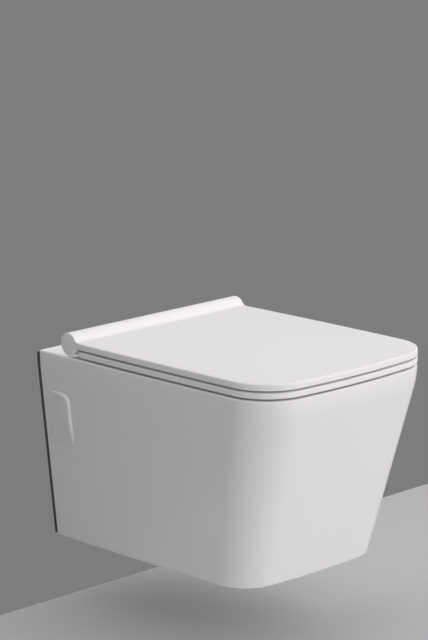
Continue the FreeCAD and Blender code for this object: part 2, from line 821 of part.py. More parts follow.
# Sleeve over the pan's outlet spigot that steps down to the waste pipe behind the wall.
def make_waste_connector():
    across = ("0", outlet_z)
    socket = rod("waste_socket", "y", socket_radius, "-socket_end_at", "-socket_step_at + pipe_wall", across)
    pipe = rod("waste_pipe", "y", "waste_pipe_radius", "-socket_step_at", "pipe_past_wall", across)
    socket_bore = rod(
        "waste_socket_bore", "y", "socket_bore", "-socket_end_at - cut_past", "-socket_step_at", across)
    pipe_bore = rod(
        "waste_pipe_bore", "y", "waste_pipe_radius - pipe_wall", "-socket_end_at",
        "pipe_past_wall + cut_past", across)
    body = fuse("waste_body", socket, pipe)
    return cut("waste_connector", body, socket_bore, pipe_bore)


def make_outlet_seal():
    outer = "socket_bore - fit_clearance"
    inner = "spigot_radius + fit_clearance"
    start = "-spigot_end_at - outlet_seal_length * 2"
    return tube(
        "outlet_seal", "y", outer, inner, start, "-spigot_end_at - outlet_seal_length", ("0", outlet_z))


# Threaded stud, thicker in the wall than inside the pan.
def make_wall_studs():
    end = f"-({nut_start_at} + nut_height + stud_end_past_nut)"
    front = rod("wall_stud_front", "y", "stud_front_radius", end, "stud_past_wall / 2", stud_place(1))
    rear = rod("wall_stud_rear", "y", "stud_radius", "0", "stud_past_wall", stud_place(1))
    return pair("wall_studs", fuse("wall_stud", front, rear))


def make_stud_sleeves():
    across = stud_place(1)
    shank = rod(
        "sleeve_shank", "y", "stud_hole - fit_clearance", f"-{back_inside_at}", "-gasket_thickness", across)
    flange_start = f"-({back_inside_at} + sleeve_flange)"
    flange = rod(
        "sleeve_flange_disc", "y", "sleeve_flange_radius", flange_start, f"-{back_inside_at}", across)
    bore = rod(
        "sleeve_bore", "y", "stud_front_radius + fit_clearance", f"{flange_start} - cut_past", "0", across)
    return pair("stud_sleeves", cut("stud_sleeve", fuse("sleeve_body", shank, flange), bore))


def make_stud_washers():
    end = f"-({back_inside_at} + sleeve_flange)"
    bore = "stud_front_radius + fit_clearance"
    washer = tube("stud_washer", "y", "washer_radius", bore, f"-{nut_start_at}", end, stud_place(1))
    return pair("stud_washers", washer)


def make_stud_nuts():
    across = stud_place(1)
    end = f"({nut_start_at} + nut_height)"
    body = hexagon("stud_nut_body", "y", "nut_across_flats", f"-{end}", f"-{nut_start_at}", across)
    bore = rod("stud_nut_bore", "y", "stud_front_radius + fit_clearance", f"-{end} - cut_past", "0", across)
    return pair("stud_nuts", cut("stud_nut", body, bore))


# Cover plate over the side opening, with a hollow plug that grips the opening's edge.
def make_side_cover():
    plate = side_plate("cover_plate", "0", "cover_clearance", "cover_proud + cover_clearance")
    outside = cover_frame(number("cover_proud + cover_clearance"))
    to_outside = outside.inverse()
    plate = fillet(
        "cover_plate_rounded", plate, "cover_edge",
        lambda edge: all(abs(to_outside.multVec(corner.Point).z) < tolerance for corner in edge.Vertexes))
    side_gap = "(cover_overlap + cover_clearance)"
    plug = side_plate("cover_plug_solid", side_gap, "-cover_plug", "cover_clearance + cover_proud / 4")
    room = side_plate(
        "cover_plug_room", f"({side_gap} + cover_plug_wall)", "-cover_plug - cut_past", "cover_clearance")
    return fuse("side_cover_right", plate, cut("cover_plug_ring", plug, room))


def hinge_base_disc(name, radius, low, high):
    disc_at = f"(({pin_at}) + ({screw_at})) / 2"
    return rod(name, "z", radius, low, high, (hinge_x, f"-{disc_at}"))


def make_hinge_pads():
    disc = hinge_base_disc("hinge_pad_disc", "base_radius", "deck_height", "deck_height + pad_thickness")
    hole = rod(
        "hinge_pad_hole", "z", "screw_head_radius", "deck_height - cut_past",
        "deck_height + pad_thickness + cut_past", (hinge_x, f"-{screw_at}"))
    return pair("hinge_pads", cut("hinge_pad", disc, hole))


base_under = "(deck_height + pad_thickness)"
base_top = f"({base_under} + base_thickness)"
head_bottom = f"({base_top} - screw_head_height)"


# Cone of the countersunk head, grown by a clearance.
def screw_head(name, grow):
    head = doc.addObject("Part::Cone", name)
    bind(head, {
        "Radius1": f"screw_radius + {grow}", "Radius2": f"screw_head_radius + {grow}",
        "Height": "screw_head_height"})
    place(head, hinge_x, f"-{screw_at}", head_bottom)
    return head


# Steel disc with the upright pin that the hinge block drops onto.
def make_hinge_base():
    disc = hinge_base_disc("hinge_base_disc", "base_radius", base_under, base_top)
    pin = rod(
        "hinge_base_pin", "z", "pin_radius", base_under, f"{base_top} + pin_height", (hinge_x,
        f"-{pin_at}"))
    sunk = screw_head("hinge_base_countersink", "fit_clearance")
    return cut("hinge_base_right", fuse("hinge_base_body", disc, pin), sunk)


def make_hinge_screws():
    place_xy = (hinge_x, f"-{screw_at}")
    shank = rod("hinge_screw_shank", "z", "screw_radius", f"{base_top} - screw_length", head_bottom, place_xy)
    return pair("hinge_screws", fuse("hinge_screw", shank, screw_head("hinge_screw_head", "0")))


plug_bottom = f"({deck_under} - fit_clearance - plug_bulge)"


def make_hinge_plugs():
    place_xy = (hinge_x, f"-{screw_at}")
    stem = rod(
        "plug_stem", "z", "plug_hole - fit_clearance", plug_bottom, "deck_height - fit_clearance", place_xy)
    bulge = rod(
        "plug_bulge_ring", "z", "plug_bulge_radius", plug_bottom, f"{deck_under} - fit_clearance", place_xy)
    bore = rod(
        "plug_bore", "z", "screw_radius + fit_clearance", f"{plug_bottom} - cut_past", "deck_height",
        place_xy)
    return pair("hinge_plugs", cut("hinge_plug", fuse("plug_body", stem, bulge), bore))


def make_plug_nuts():
    place_xy = (hinge_x, f"-{screw_at}")
    low = f"{plug_bottom} - plug_nut_height"
    body = hexagon("plug_nut_body", "z", "plug_nut_across_flats", low, plug_bottom, place_xy)
    bore = rod(
        "plug_nut_bore", "z", "screw_radius + fit_clearance", f"{low} - cut_past",
        f"{plug_bottom} + cut_past", place_xy)
    return pair("plug_nuts", cut("plug_nut", body, bore))


hinge_across = ("-hinge_from_wall", hinge_z)
web_drop = "sqrt(barrel_radius^2 - web_setback^2)"


# Outline, seen from the side, of an arm that runs from its foot up and back to the hinge axis.
def arm_outline(name, foot_front, foot_back, top_back, low, high, start_x):
    bore_share = "barrel_bore / barrel_radius"
    corners = (
        (f"-({foot_front})", low),
        (f"-({foot_back})", low),
        ("-(hinge_from_wall + web_setback)", f"{hinge_z} - {web_drop}"),
        (f"-(hinge_from_wall + web_setback * {bore_share})", f"{hinge_z} - {web_drop} * {bore_share}"),
        ("-hinge_from_wall", f"{hinge_z} - eye_radius / 2"),
        ("-hinge_from_wall", hinge_z),
        ("-(hinge_from_wall + eye_root)", hinge_z),
        (f"-({top_back})", high),
        (f"-({foot_front})", high),
    )
    return polygon(name, upright_along_x, corners, x=start_x)


# Plastic block that drops onto the upright pin and carries the axle in its eye.
def make_hinge_block():
    outline = arm_outline(
        "hinge_block_outline", block_front_at, "hinge_from_wall + web_setback",
        "hinge_from_wall + web_setback", block_bottom, block_top, block_inner_x)
    arm = extrude("hinge_block_arm", outline, "block_width")
    eye = rod("hinge_block_eye", "x", "eye_radius", block_inner_x, block_outer_x, hinge_across)
    axle_hole = rod(
        "hinge_block_bore", "x", "axle_radius + running_clearance", f"{block_inner_x} - cut_past",
        f"{block_outer_x} + cut_past", hinge_across)
    pin_hole = rod(
        "hinge_block_socket", "z", "pin_radius + running_clearance", f"{block_bottom} - cut_past",
        f"{base_top} + pin_height + pin_headroom", (hinge_x, f"-{pin_at}"))
    pocket = rod(
        "button_pocket", "y", "button_radius + running_clearance", f"-{block_front_at} - cut_past",
        f"-{block_front_at} + button_pocket", (hinge_x, f"{block_top} - button_drop"))
    return cut("hinge_block_right", fuse("hinge_block_body", arm, eye), axle_hole, pin_hole, pocket)


def make_release_button():
    start = f"-({block_front_at} + button_proud)"
    across = (hinge_x, f"{block_top} - button_drop")
    return rod("release_button_right", "y", "button_radius", start, f"{start} + button_length", across)


def make_axles():
    right = rod("hinge_axle_right", "x", "axle_radius", bush_inner_x, bush_outer_x, hinge_across)
    left_end = f"({damper_end_x} - bush_width)"
    left = rod("hinge_axle_left", "x", "axle_radius", f"-{left_end}", f"-{bush_inner_x}", hinge_across)
    return right, left


def slab_edges(name, base, low, high, back):
    rounded = fillet(f"{name}_top_rounded", base, "slab_edge", edges_at(high, back))
    return fillet(f"{name}_rounded", rounded, "slab_edge", edges_at(low, back))


def seat_opening_outline(level):
    half = "(rim_half - seat_side_width)"
    return ring_outline(
        "seat_hole_outline", Rotation(), half, "seat_open_back_at", f"{front_at} - seat_front_width",
        f"{half} * seat_back_round", f"{half} * seat_front_round", z=level)


# One side's pair of lugs: an arm over the whole hinge, parted round the hinge block.
def seat_lugs():
    outline = arm_outline(
        "seat_lug_outline", "seat_back_at + lug_root", "hinge_from_wall + web_setback + lug_foot_setback",
        "hinge_from_wall + web_setback + lug_top_setback", seat_under, seat_top, lug_inner_x)
    arm = extrude("seat_lug_arm", outline, f"{lug_outer_x} - {lug_inner_x}")
    eye = rod("seat_lug_eye", "x", "eye_radius", lug_inner_x, lug_outer_x, hinge_across)
    return fuse("seat_lugs_right", arm, eye)


def make_seat():
    plate = extrude("seat_plate", rim_outline("seat_outline", seat_under, "seat_back_at"), "seat_thickness")
    hole = extrude("seat_hole", seat_opening_outline(seat_under), "seat_thickness")
    sharp_ring = cut("seat_ring_sharp", plate, hole)
    ring = slab_edges("seat_ring", sharp_ring, seat_under, seat_top, "seat_back_at")
    lugs = seat_lugs()
    body = fuse("seat_body", ring, lugs, mirrored("seat_lugs_left", lugs))
    slot = block(
        "seat_block_slot", (f"{block_inner_x} - side_clearance", f"{block_outer_x} + side_clearance"),
        (f"-({block_front_at} + recess_clearance)", "-hinge_from_wall + 2 * eye_radius"),
        (f"{seat_under} - cut_past", f"{hinge_z} + 2 * eye_radius"))
    bore = rod(
        "seat_axle_bore", "x", "axle_radius + running_clearance", f"{lug_inner_x} - cut_past",
        f"{lug_outer_x} + cut_past", hinge_across)
    damper_room = rod(
        "seat_damper_room", "x", "seat_damper_radius + fit_clearance",
        f"{block_outer_x} + side_clearance - cut_past",
        f"{lug_outer_x} + cut_past", hinge_across)
    tools = [slot, bore, damper_room, mirrored("seat_slot_left", slot), mirrored("seat_bore_left", bore)]
    tools += buffer_stem_holes("seat", seat_under, seat_buffer_places)
    return cut("seat", body, *tools)


seat_buffer_places = [
    ("(rim_half - seat_buffer_inset)", "seat_buffer_front_at"),
    ("(rim_half - seat_buffer_inset)", "seat_buffer_back_at"),
]
lid_buffer_places = [
    ("(rim_half - lid_buffer_inset)", "lid_buffer_front_at"),
    ("(rim_half - lid_buffer_inset)", "lid_buffer_back_at"),
]


def buffer_stem_holes(name, face, places):
    holes = []
    for i, (x, at) in enumerate(places):
        for side in (1, -1):
            holes.append(rod(
                f"{name}_stem_hole_{i}_{side + 1}", "z", "buffer_stem_radius + fit_clearance",
                f"{face} - cut_past",
                f"{face} + buffer_stem + fit_clearance", (f"{side} * {x}", f"-{at}")))
    return holes


# Rubber pads with stems, pressed into holes in the face above them.
def make_buffers(name, face, height, places):
    pads = []
    for i, (x, at) in enumerate(places):
        for side in (1, -1):
            tag = f"{name}_{i}_{side + 1}"
            outline = ring_outline(
                f"{tag}_outline", Rotation(), "buffer_width / 2", "-buffer_length / 2", "buffer_length / 2",
                "buffer_corner", "buffer_corner",
                x=f"{side} * {x}", y=f"-{at}", z=f"{face} - ({height})")
            pad = extrude(f"{tag}_pad", outline, height)
            stem = rod(
                f"{tag}_stem", "z", "buffer_stem_radius", f"{face} - ({height}) / 2", f"{face} + buffer_stem",
                (f"{side} * {x}", f"-{at}"))
            pads.append(fuse(tag, pad, stem))
    return group(name, *pads)


def make_seat_damper():
    start = f"({block_outer_x} + side_clearance)"
    bore = "axle_radius + running_clearance"
    return tube("seat_damper", "x", "seat_damper_radius", bore, start, lug_outer_x, hinge_across)


# Side view of the lid: a thin slab that runs into the round barrel with a hollow fillet on top.
def lid_profile():
    sketch = new_sketch("lid_profile", upright_along_x, x="-2 * rim_half")
    barrel_r, fillet_r = number("barrel_radius"), number("barrel_fillet")
    axis = Vector(-number("hinge_from_wall"), number(hinge_z))
    top, under, front = number(lid_top), number(lid_under), -number(f"{front_at} + lid_thickness")
    rise = top - axis.y + fillet_r
    reach = math.sqrt((barrel_r + fillet_r) ** 2 - rise ** 2)
    fillet_middle = axis + Vector(-reach, rise)
    on_slab = fillet_middle - Vector(0, fillet_r)
    on_barrel = axis + Vector(-reach, rise) * (barrel_r / (barrel_r + fillet_r))
    under_end = axis + Vector(-math.sqrt(barrel_r ** 2 - (axis.y - under) ** 2), under - axis.y)
    sketch.addGeometry(Part.LineSegment(Vector(front, under), Vector(front, top)))
    sketch.addGeometry(Part.LineSegment(Vector(front, top), on_slab))
    sketch.addGeometry(arc_between(fillet_middle, on_slab, on_barrel))
    sketch.addGeometry(arc_between(axis, under_end, on_barrel))
    sketch.addGeometry(Part.LineSegment(under_end, Vector(front, under)))
    hold(sketch, "Coincident", 0, 2, 1, 1)
    hold(sketch, "Tangent", 1, 2, 2, 1)
    hold(sketch, "Tangent", 2, 2, 3, 2)
    hold(sketch, "Coincident", 3, 1, 4, 1)
    hold(sketch, "Coincident", 4, 2, 0, 1)
    hold(sketch, "Vertical", 0)
    hold(sketch, "Horizontal", 1)
    hold(sketch, "Horizontal", 4)
    hold(sketch, "Radius", 2, expression="barrel_fillet")
    hold(sketch, "Radius", 3, expression="barrel_radius")
    hold_at(sketch, 3, 3, "-hinge_from_wall", hinge_z)
    hold(sketch, "DistanceY", -1, 1, 1, 1, expression=lid_top)
    hold(sketch, "DistanceY", -1, 1, 4, 1, expression=lid_under)
    hold(sketch, "DistanceX", 0, 1, -1, 1, expression=f"{front_at} + lid_thickness")
    return sketch


# A slice of a round bar on the hinge axis, between two angles that run up from the rear.
def hinge_sector(name, start_x, end_x, first, last):
    item = doc.addObject("Part::Cylinder", name)
    bind(item, {
        "Radius": "barrel_radius + side_clearance", "Height": f"({end_x}) - ({start_x})",
        "Angle": f"({last}) - ({first})"})
    spin = Rotation(Vector(0, 0, 1), number(first) + 90)
    item.Placement = Placement(Vector(), turns["x"].multiply(spin))
    seat_on(item, "x", start_x, hinge_across)
    return item


# Cut-outs under and behind the barrel that the hinge block and the seat's lugs pass through.
def hinge_notches():
    web_angle = "(acos(web_setback / barrel_radius) / 1 deg - 180)"
    block_top_angle = f"(asin(({hinge_z} - {block_top}) / barrel_radius) / 1 deg - 180)"
    first = f"({block_top_angle} - notch_margin)"
    block_last = f"({web_angle} + seat_opening + lid_opening + notch_margin)"
    lug_last = f"({web_angle} + lid_opening + notch_margin)"
    for_block = hinge_sector(
        "block_notch", f"{block_inner_x} - side_clearance", f"{block_outer_x} + side_clearance",
        first, block_last)
    for_lugs = hinge_sector(
        "lug_notch", f"{lug_inner_x} - side_clearance", f"{lug_outer_x} + side_clearance", first, lug_last)
    return fuse("hinge_notch_right", for_block, for_lugs)


def make_lid():
    barrel_back_at = "(hinge_from_wall - barrel_radius - cut_past)"
    side_view = extrude("lid_side_view", lid_profile(), "4 * rim_half")
    plan = extrude(
        "lid_plan", rim_outline("lid_outline", "deck_height", barrel_back_at),
        f"{hinge_z} + 2 * barrel_radius - deck_height")
    body = common("lid_body", side_view, plan)
    end_x = f"({half_at('rim_half', 'rim_side_radius', 'hinge_from_wall')} - barrel_end_wall)"
    bore = rod("barrel_hollow", "x", "barrel_bore", f"-{end_x}", end_x, hinge_across)
    slot = block(
        "barrel_slot", (f"-{end_x}", end_x),
        ("-hinge_from_wall - barrel_slot_half", "-hinge_from_wall + barrel_slot_half"),
        (f"{hinge_z} - 2 * barrel_radius", hinge_z))
    notch = hinge_notches()
    tools = [bore, slot, notch, mirrored("hinge_notch_left", notch)]
    tools += buffer_stem_holes("lid", lid_under, lid_buffer_places)
    return cut("lid", body, *tools)


# Plastic discs in the lid's barrel that turn on the axles.
def make_lid_bushes():
    outer, bore = "barrel_bore - fit_clearance", "axle_radius + running_clearance"
    bushes = []
    for name, start in (("inner", bush_inner_x), ("outer", f"{bush_outer_x} - bush_width")):
        bush = tube(f"lid_bush_{name}", "x", outer, bore, start, f"{start} + bush_width", hinge_across)
        bushes += [bush, mirrored(f"lid_bush_{name}_left", bush)]
    return group("lid_bushes", *bushes)


def make_lid_damper():
    outer, bore = "barrel_bore - fit_clearance", "axle_radius + running_clearance"
    start = f"({bush_outer_x} + side_clearance)"
    body = rod("lid_damper_body", "x", outer, f"-{damper_end_x}", f"-{start}", hinge_across)
    room = rod(
        "lid_damper_bore", "x", bore, f"-({damper_end_x} - bush_width) - side_clearance",
        f"-{start} + cut_past",
        hinge_across)
    return cut("lid_damper", body, room)


def make_sub_parts():
    cover = make_side_cover()
    hinge_base = make_hinge_base()
    hinge_block = make_hinge_block()
    button = make_release_button()
    return [
        *make_ceramic(), make_flush_distributor(), make_wall_gasket(),
        make_flush_pipe(), make_inlet_seal(), make_waste_connector(), make_outlet_seal(),
        make_wall_studs(), make_stud_sleeves(), make_stud_washers(), make_stud_nuts(),
        cover, mirrored("side_cover_left", cover),
        make_hinge_pads(), hinge_base, mirrored("hinge_base_left", hinge_base),
        make_hinge_screws(), make_hinge_plugs(), make_plug_nuts(),
        hinge_block, mirrored("hinge_block_left", hinge_block), *make_axles(),
        button, mirrored("release_button_left", button),
        make_seat(), make_seat_damper(),
        make_buffers("seat_buffers", seat_under, "seat_gap - rest_clearance", seat_buffer_places),
        make_lid(), make_lid_bushes(), make_lid_damper(),
        make_buffers("lid_buffers", lid_under, "lid_gap - rest_clearance", lid_buffer_places),
    ]


def check(sub_parts):
    failed = [item.Label for item in doc.Objects if {"Invalid", "Error"} & set(item.State)]
    if failed:
        raise RuntimeError("failed: " + ", ".join(failed))
    for item in sub_parts:
        if item.Shape.isNull() or not item.Shape.isValid() or not item.Shape.Solids:
            raise RuntimeError("bad shape: " + item.Label)


sub_parts = make_sub_parts()
doc.recompute()
check(sub_parts)
os.makedirs("parts", exist_ok=True)
for item in sub_parts:
    item.Shape.exportStep(f"parts/{item.Label}.step")
    print(f"{item.Label}: {len(item.Shape.Solids)} solids, {item.Shape.Volume / 1000:.1f} cm3")
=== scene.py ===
import bmesh
import bpy
import json
import math
import numpy as np
from mathutils import Matrix, Vector


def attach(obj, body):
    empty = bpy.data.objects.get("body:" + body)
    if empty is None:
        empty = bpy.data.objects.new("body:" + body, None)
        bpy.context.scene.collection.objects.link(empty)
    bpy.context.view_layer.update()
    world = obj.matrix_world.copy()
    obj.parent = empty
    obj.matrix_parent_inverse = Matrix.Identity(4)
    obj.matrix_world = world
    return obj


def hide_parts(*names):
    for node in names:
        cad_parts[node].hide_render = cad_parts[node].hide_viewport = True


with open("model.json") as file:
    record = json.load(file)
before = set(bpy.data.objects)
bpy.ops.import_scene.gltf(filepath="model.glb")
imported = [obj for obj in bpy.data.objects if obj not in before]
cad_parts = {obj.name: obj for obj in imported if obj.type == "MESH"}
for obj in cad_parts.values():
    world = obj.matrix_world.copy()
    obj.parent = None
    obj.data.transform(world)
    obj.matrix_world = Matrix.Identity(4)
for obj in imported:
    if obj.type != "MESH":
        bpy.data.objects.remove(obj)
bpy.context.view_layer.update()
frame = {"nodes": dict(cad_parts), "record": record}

print("frame loaded,", len(frame["nodes"]), "nodes")


# shader formulas

# a socket that can be added and multiplied: each sign makes one maths node
class Wire:
    def __init__(self, tree, socket):
        self.tree = tree
        self.socket = socket

    # one node of any kind: its settings first, then its inputs by name or number, and the output asked for
    def node(self, kind, inputs, output=0, **settings):
        made = self.tree.nodes.new(kind)
        for name, value in settings.items():
            setattr(made, name, value)
        for name, value in inputs.items():
            if isinstance(value, Wire):
                value.feed(made, name)
            else:
                made.inputs[name].default_value = value
        return Wire(self.tree, made.outputs[output])

    # links the socket to a node's input
    def feed(self, target, name):
        self.tree.links.new(self.socket, target.inputs[name])

    # operation(first, second) as one maths node
    def maths(self, operation, first, second):
        return self.node("ShaderNodeMath", {0: first, 1: second}, operation=operation)

    def __add__(self, other):
        return self.maths("ADD", self, other)

    def __mul__(self, other):
        return self.maths("MULTIPLY", self, other)

    __radd__ = __add__
    __rmul__ = __mul__


# a new material: its surface node, and a wire that carries the piece's own coordinates
def newMaterial(name):
    material = bpy.data.materials.new(name)
    material.use_nodes = True
    tree = material.node_tree
    surface = tree.nodes["Principled BSDF"]
    place = Wire(tree, tree.nodes.new("ShaderNodeTexCoord").outputs["Object"])
    return material, surface, place


mixColours = {"dark": 6, "light": 7, "result": 2}  # the Mix node's colour sockets


# colour = dark + (light - dark) * amount, where amount is a wire
def tint(amount, dark, light):
    inputs = {"Factor": amount, mixColours["dark"]: (*dark, 1), mixColours["light"]: (*light, 1)}
    return amount.node("ShaderNodeMix", inputs, mixColours["result"], data_type="RGBA")


# soft noise between 0 and 1 in the piece's coordinates
def noise(place, scale, detail=2.0):
    return place.node("ShaderNodeTexNoise", {"Vector": place, "Scale": scale, "Detail": detail})


# tilts the surface by the slope of a height wire: strength is its share, depth is in metres
def ruffle(surface, height, strength, depth):
    bump = height.node("ShaderNodeBump", {"Height": height, "Strength": strength, "Distance": depth})
    bump.feed(surface, "Normal")


hard = {"cloudScale": 9.0, "fineScale": 120.0, "fineDetail": 3.0, "depth": 0.001, "coatRough": 0.05}


# a hard finish: colour drifts by cloud noise, roughness by fine noise, and the skin ripples by bump
def finishMaterial(name, dark, light, rough, spread, ripple, rippleScale, coat=0.0, shine=0.5):
    material, surface, place = newMaterial(name)
    tint(noise(place, hard["cloudScale"]), dark, light).feed(surface, "Base Color")
    fine = noise(place, hard["fineScale"], hard["fineDetail"])
    (fine * spread + (rough - spread / 2)).feed(surface, "Roughness")
    ruffle(surface, noise(place, rippleScale), ripple, hard["depth"])
    surface.inputs["Coat Weight"].default_value = coat
    surface.inputs["Coat Roughness"].default_value = hard["coatRough"]
    surface.inputs["Specular IOR Level"].default_value = shine
    return material


drawn = {"scale": 40.0, "detail": 4.0, "spread": 0.18, "ripple": 0.08, "depth": 0.0005}


# steel drawn along one axis: noise squeezed across that axis streaks the roughness
def drawnMetal(name, dark, light, rough, stretch):
    material, surface, place = newMaterial(name)
    squeezed = place.node("ShaderNodeMapping", {"Vector": place, "Scale": stretch}, vector_type="POINT")
    streak = noise(squeezed, drawn["scale"], drawn["detail"])
    tint(streak, dark, light).feed(surface, "Base Color")
    (streak * drawn["spread"] + (rough - drawn["spread"] / 2)).feed(surface, "Roughness")
    ruffle(surface, streak, drawn["ripple"], drawn["depth"])
    surface.inputs["Metallic"].default_value = 1.0
    return material


# thread colours: dark is painted shade in the thread's roots, light is the ridges
thread = {
    "dark": (0.42, 0.43, 0.45), "light": (0.7, 0.71, 0.72), "pitch": 0.00175, "ripple": 0.9, "depth": 0.0006,
    "grainScale": 300.0, "rough": 0.25, "spread": 0.15,
}


# threaded rod: a sine of the place along the rod gives the ridges, and the roots are coloured darker than
# the ridges as painted shade
def threadMetal(name):
    material, surface, place = newMaterial(name)
    along = place.node("ShaderNodeSeparateXYZ", {"Vector": place}, "Y")
    wave = along.node("ShaderNodeMath", {0: along * (2 * math.pi / thread["pitch"])}, operation="SINE")
    # painted shade: the roots of the thread are tinted darker than its ridges
    rootShadeToRidge = wave * 0.5 + 0.5  # 0 in the root, 1 on the ridge
    tint(rootShadeToRidge, thread["dark"], thread["light"]).feed(surface, "Base Color")
    ruffle(surface, wave, thread["ripple"], thread["depth"])
    grain = noise(place, thread["grainScale"])
    (grain * thread["spread"] + thread["rough"]).feed(surface, "Roughness")
    surface.inputs["Metallic"].default_value = 1.0
    return material


# dark foam colours, partly the foam's own dark grey and partly painted shadow of the gap line between pan
# and wall
foamAndShadowLine = {
    "dark": (0.055, 0.055, 0.057), "light": (0.10, 0.10, 0.104), "cellScale": 700.0, "ripple": 0.5,
    "depth": 0.001, "rough": 0.9,
}


# closed-cell foam: cell noise pits the surface and colours the pits darker as painted shade; the foam's very
# dark colour is partly the real dark foam and partly painted shadow for the line where pan meets wall
def foamAndShadowLineMaterial(name):
    material, surface, place = newMaterial(name)
    cellPitsAndShade = place.node("ShaderNodeTexVoronoi", {"Vector": place, "Scale": foamAndShadowLine["cellScale"]})
    tint(cellPitsAndShade, foamAndShadowLine["dark"], foamAndShadowLine["light"]).feed(surface, "Base Color")
    ruffle(surface, cellPitsAndShade, foamAndShadowLine["ripple"], foamAndShadowLine["depth"])
    surface.inputs["Roughness"].default_value = foamAndShadowLine["rough"]
    return material


hardFinishes = {
    "glazed_ceramic": {
        "dark": (0.845, 0.845, 0.84), "light": (0.865, 0.865, 0.862), "rough": 0.11, "spread": 0.03,
        "ripple": 0.02, "rippleScale": 55.0, "coat": 0.25},
    "seat_plastic": {
        "dark": (0.85, 0.85, 0.848), "light": (0.868, 0.868, 0.866), "rough": 0.45, "spread": 0.05,
        "ripple": 0.015, "rippleScale": 180.0, "shine": 0.1},
    "cover_plastic": {
        "dark": (0.845, 0.845, 0.842), "light": (0.862, 0.862, 0.86), "rough": 0.16, "spread": 0.04,
        "ripple": 0.02, "rippleScale": 160.0, "coat": 0.2},
    "white_plastic": {
        "dark": (0.82, 0.82, 0.81), "light": (0.85, 0.85, 0.84), "rough": 0.28, "spread": 0.06,
        "ripple": 0.03, "rippleScale": 220.0},
    "hinge_plastic": {
        "dark": (0.72, 0.72, 0.715), "light": (0.76, 0.76, 0.755), "rough": 0.38, "spread": 0.08,
        "ripple": 0.06, "rippleScale": 420.0},
    "button_plastic": {
        "dark": (0.4, 0.405, 0.41), "light": (0.45, 0.455, 0.46), "rough": 0.4, "spread": 0.1,
        "ripple": 0.08, "rippleScale": 520.0},
    "damper_plastic": {
        "dark": (0.52, 0.52, 0.525), "light": (0.57, 0.57, 0.575), "rough": 0.42, "spread": 0.1,
        "ripple": 0.06, "rippleScale": 420.0},
    "grey_plastic": {
        "dark": (0.48, 0.485, 0.49), "light": (0.54, 0.545, 0.55), "rough": 0.45, "spread": 0.1,
        "ripple": 0.06, "rippleScale": 420.0},
    "black_pipe": {
        "dark": (0.018, 0.018, 0.02), "light": (0.03, 0.03, 0.032), "rough": 0.42, "spread": 0.12,
        "ripple": 0.1, "rippleScale": 260.0},
    "black_rubber": {
        "dark": (0.022, 0.022, 0.023), "light": (0.038, 0.038, 0.04), "rough": 0.65, "spread": 0.12,
        "ripple": 0.15, "rippleScale": 600.0},
    "pad_rubber": {
        "dark": (0.62, 0.62, 0.61), "light": (0.68, 0.68, 0.67), "rough": 0.6, "spread": 0.1,
        "ripple": 0.12, "rippleScale": 600.0},
    "buffer_rubber": {
        "dark": (0.66, 0.66, 0.65), "light": (0.72, 0.72, 0.71), "rough": 0.55, "spread": 0.1,
        "ripple": 0.1, "rippleScale": 600.0},
}
drawnFinishes = {
    "zinc_steel": {
        "dark": (0.5, 0.51, 0.53), "light": (0.68, 0.69, 0.7), "rough": 0.34, "stretch": (1.0, 0.15, 1.0)},
    "hinge_steel": {
        "dark": (0.6, 0.6, 0.605), "light": (0.74, 0.74, 0.745), "rough": 0.28, "stretch": (1.0, 1.0, 0.2)},
    "plug_brass": {
        "dark": (0.6, 0.44, 0.2), "light": (0.76, 0.58, 0.3), "rough": 0.32, "stretch": (1.0, 1.0, 0.3)},
}
finishes = {name: finishMaterial(name, **spec) for name, spec in hardFinishes.items()}
finishes.update({name: drawnMetal(name, **spec) for name, spec in drawnFinishes.items()})
finishes["stud_thread"] = threadMetal("stud_thread")
finishes["dark_foam"] = foamAndShadowLineMaterial("dark_foam")
print("materials made,", len(finishes))


# grids and outlines

# points of an arc without its last point: middle + radius * (cos, sin) of even angles
def arcPoints(middle, radius, first, last, count):
    angles = np.linspace(first, last, count, endpoint=False)
    return np.stack((middle[0] + radius * np.cos(angles), middle[1] + radius * np.sin(angles)), axis=1)


# points of a straight run without its last point: start + (end - start) * share
def linePoints(start, end, count):
    share = np.linspace(0, 1, count, endpoint=False)[:, None]
    return np.array(start) + (np.array(end) - np.array(start)) * share


# crossing of two circles that lies farthest to the front right
def circleCrossing(first, firstRadius, second, secondRadius):
    first, second = np.array(first), np.array(second)
    way = second - first
    apart = np.hypot(*way)
    along = (firstRadius ** 2 - secondRadius ** 2 + apart ** 2) / (2 * apart)
    aside = math.sqrt(firstRadius ** 2 - along ** 2)
    way = way / apart
    normal = np.array((way[1], -way[0]))
    options = [first + way * along + normal * aside, first + way * along - normal * aside]
    return max(options, key=lambda p: p[0] - p[1])


# a loop from its right half: the half from back middle to front middle, then its mirror image
def mirroredLoop(half):
    other = half[-2:0:-1] * np.array((-1, 1))
    return np.concatenate((half, other))


runs = {"back": 16, "backCorner": 14, "side": 40, "corner": 28, "front": 20}
leastCorner = 0.0004


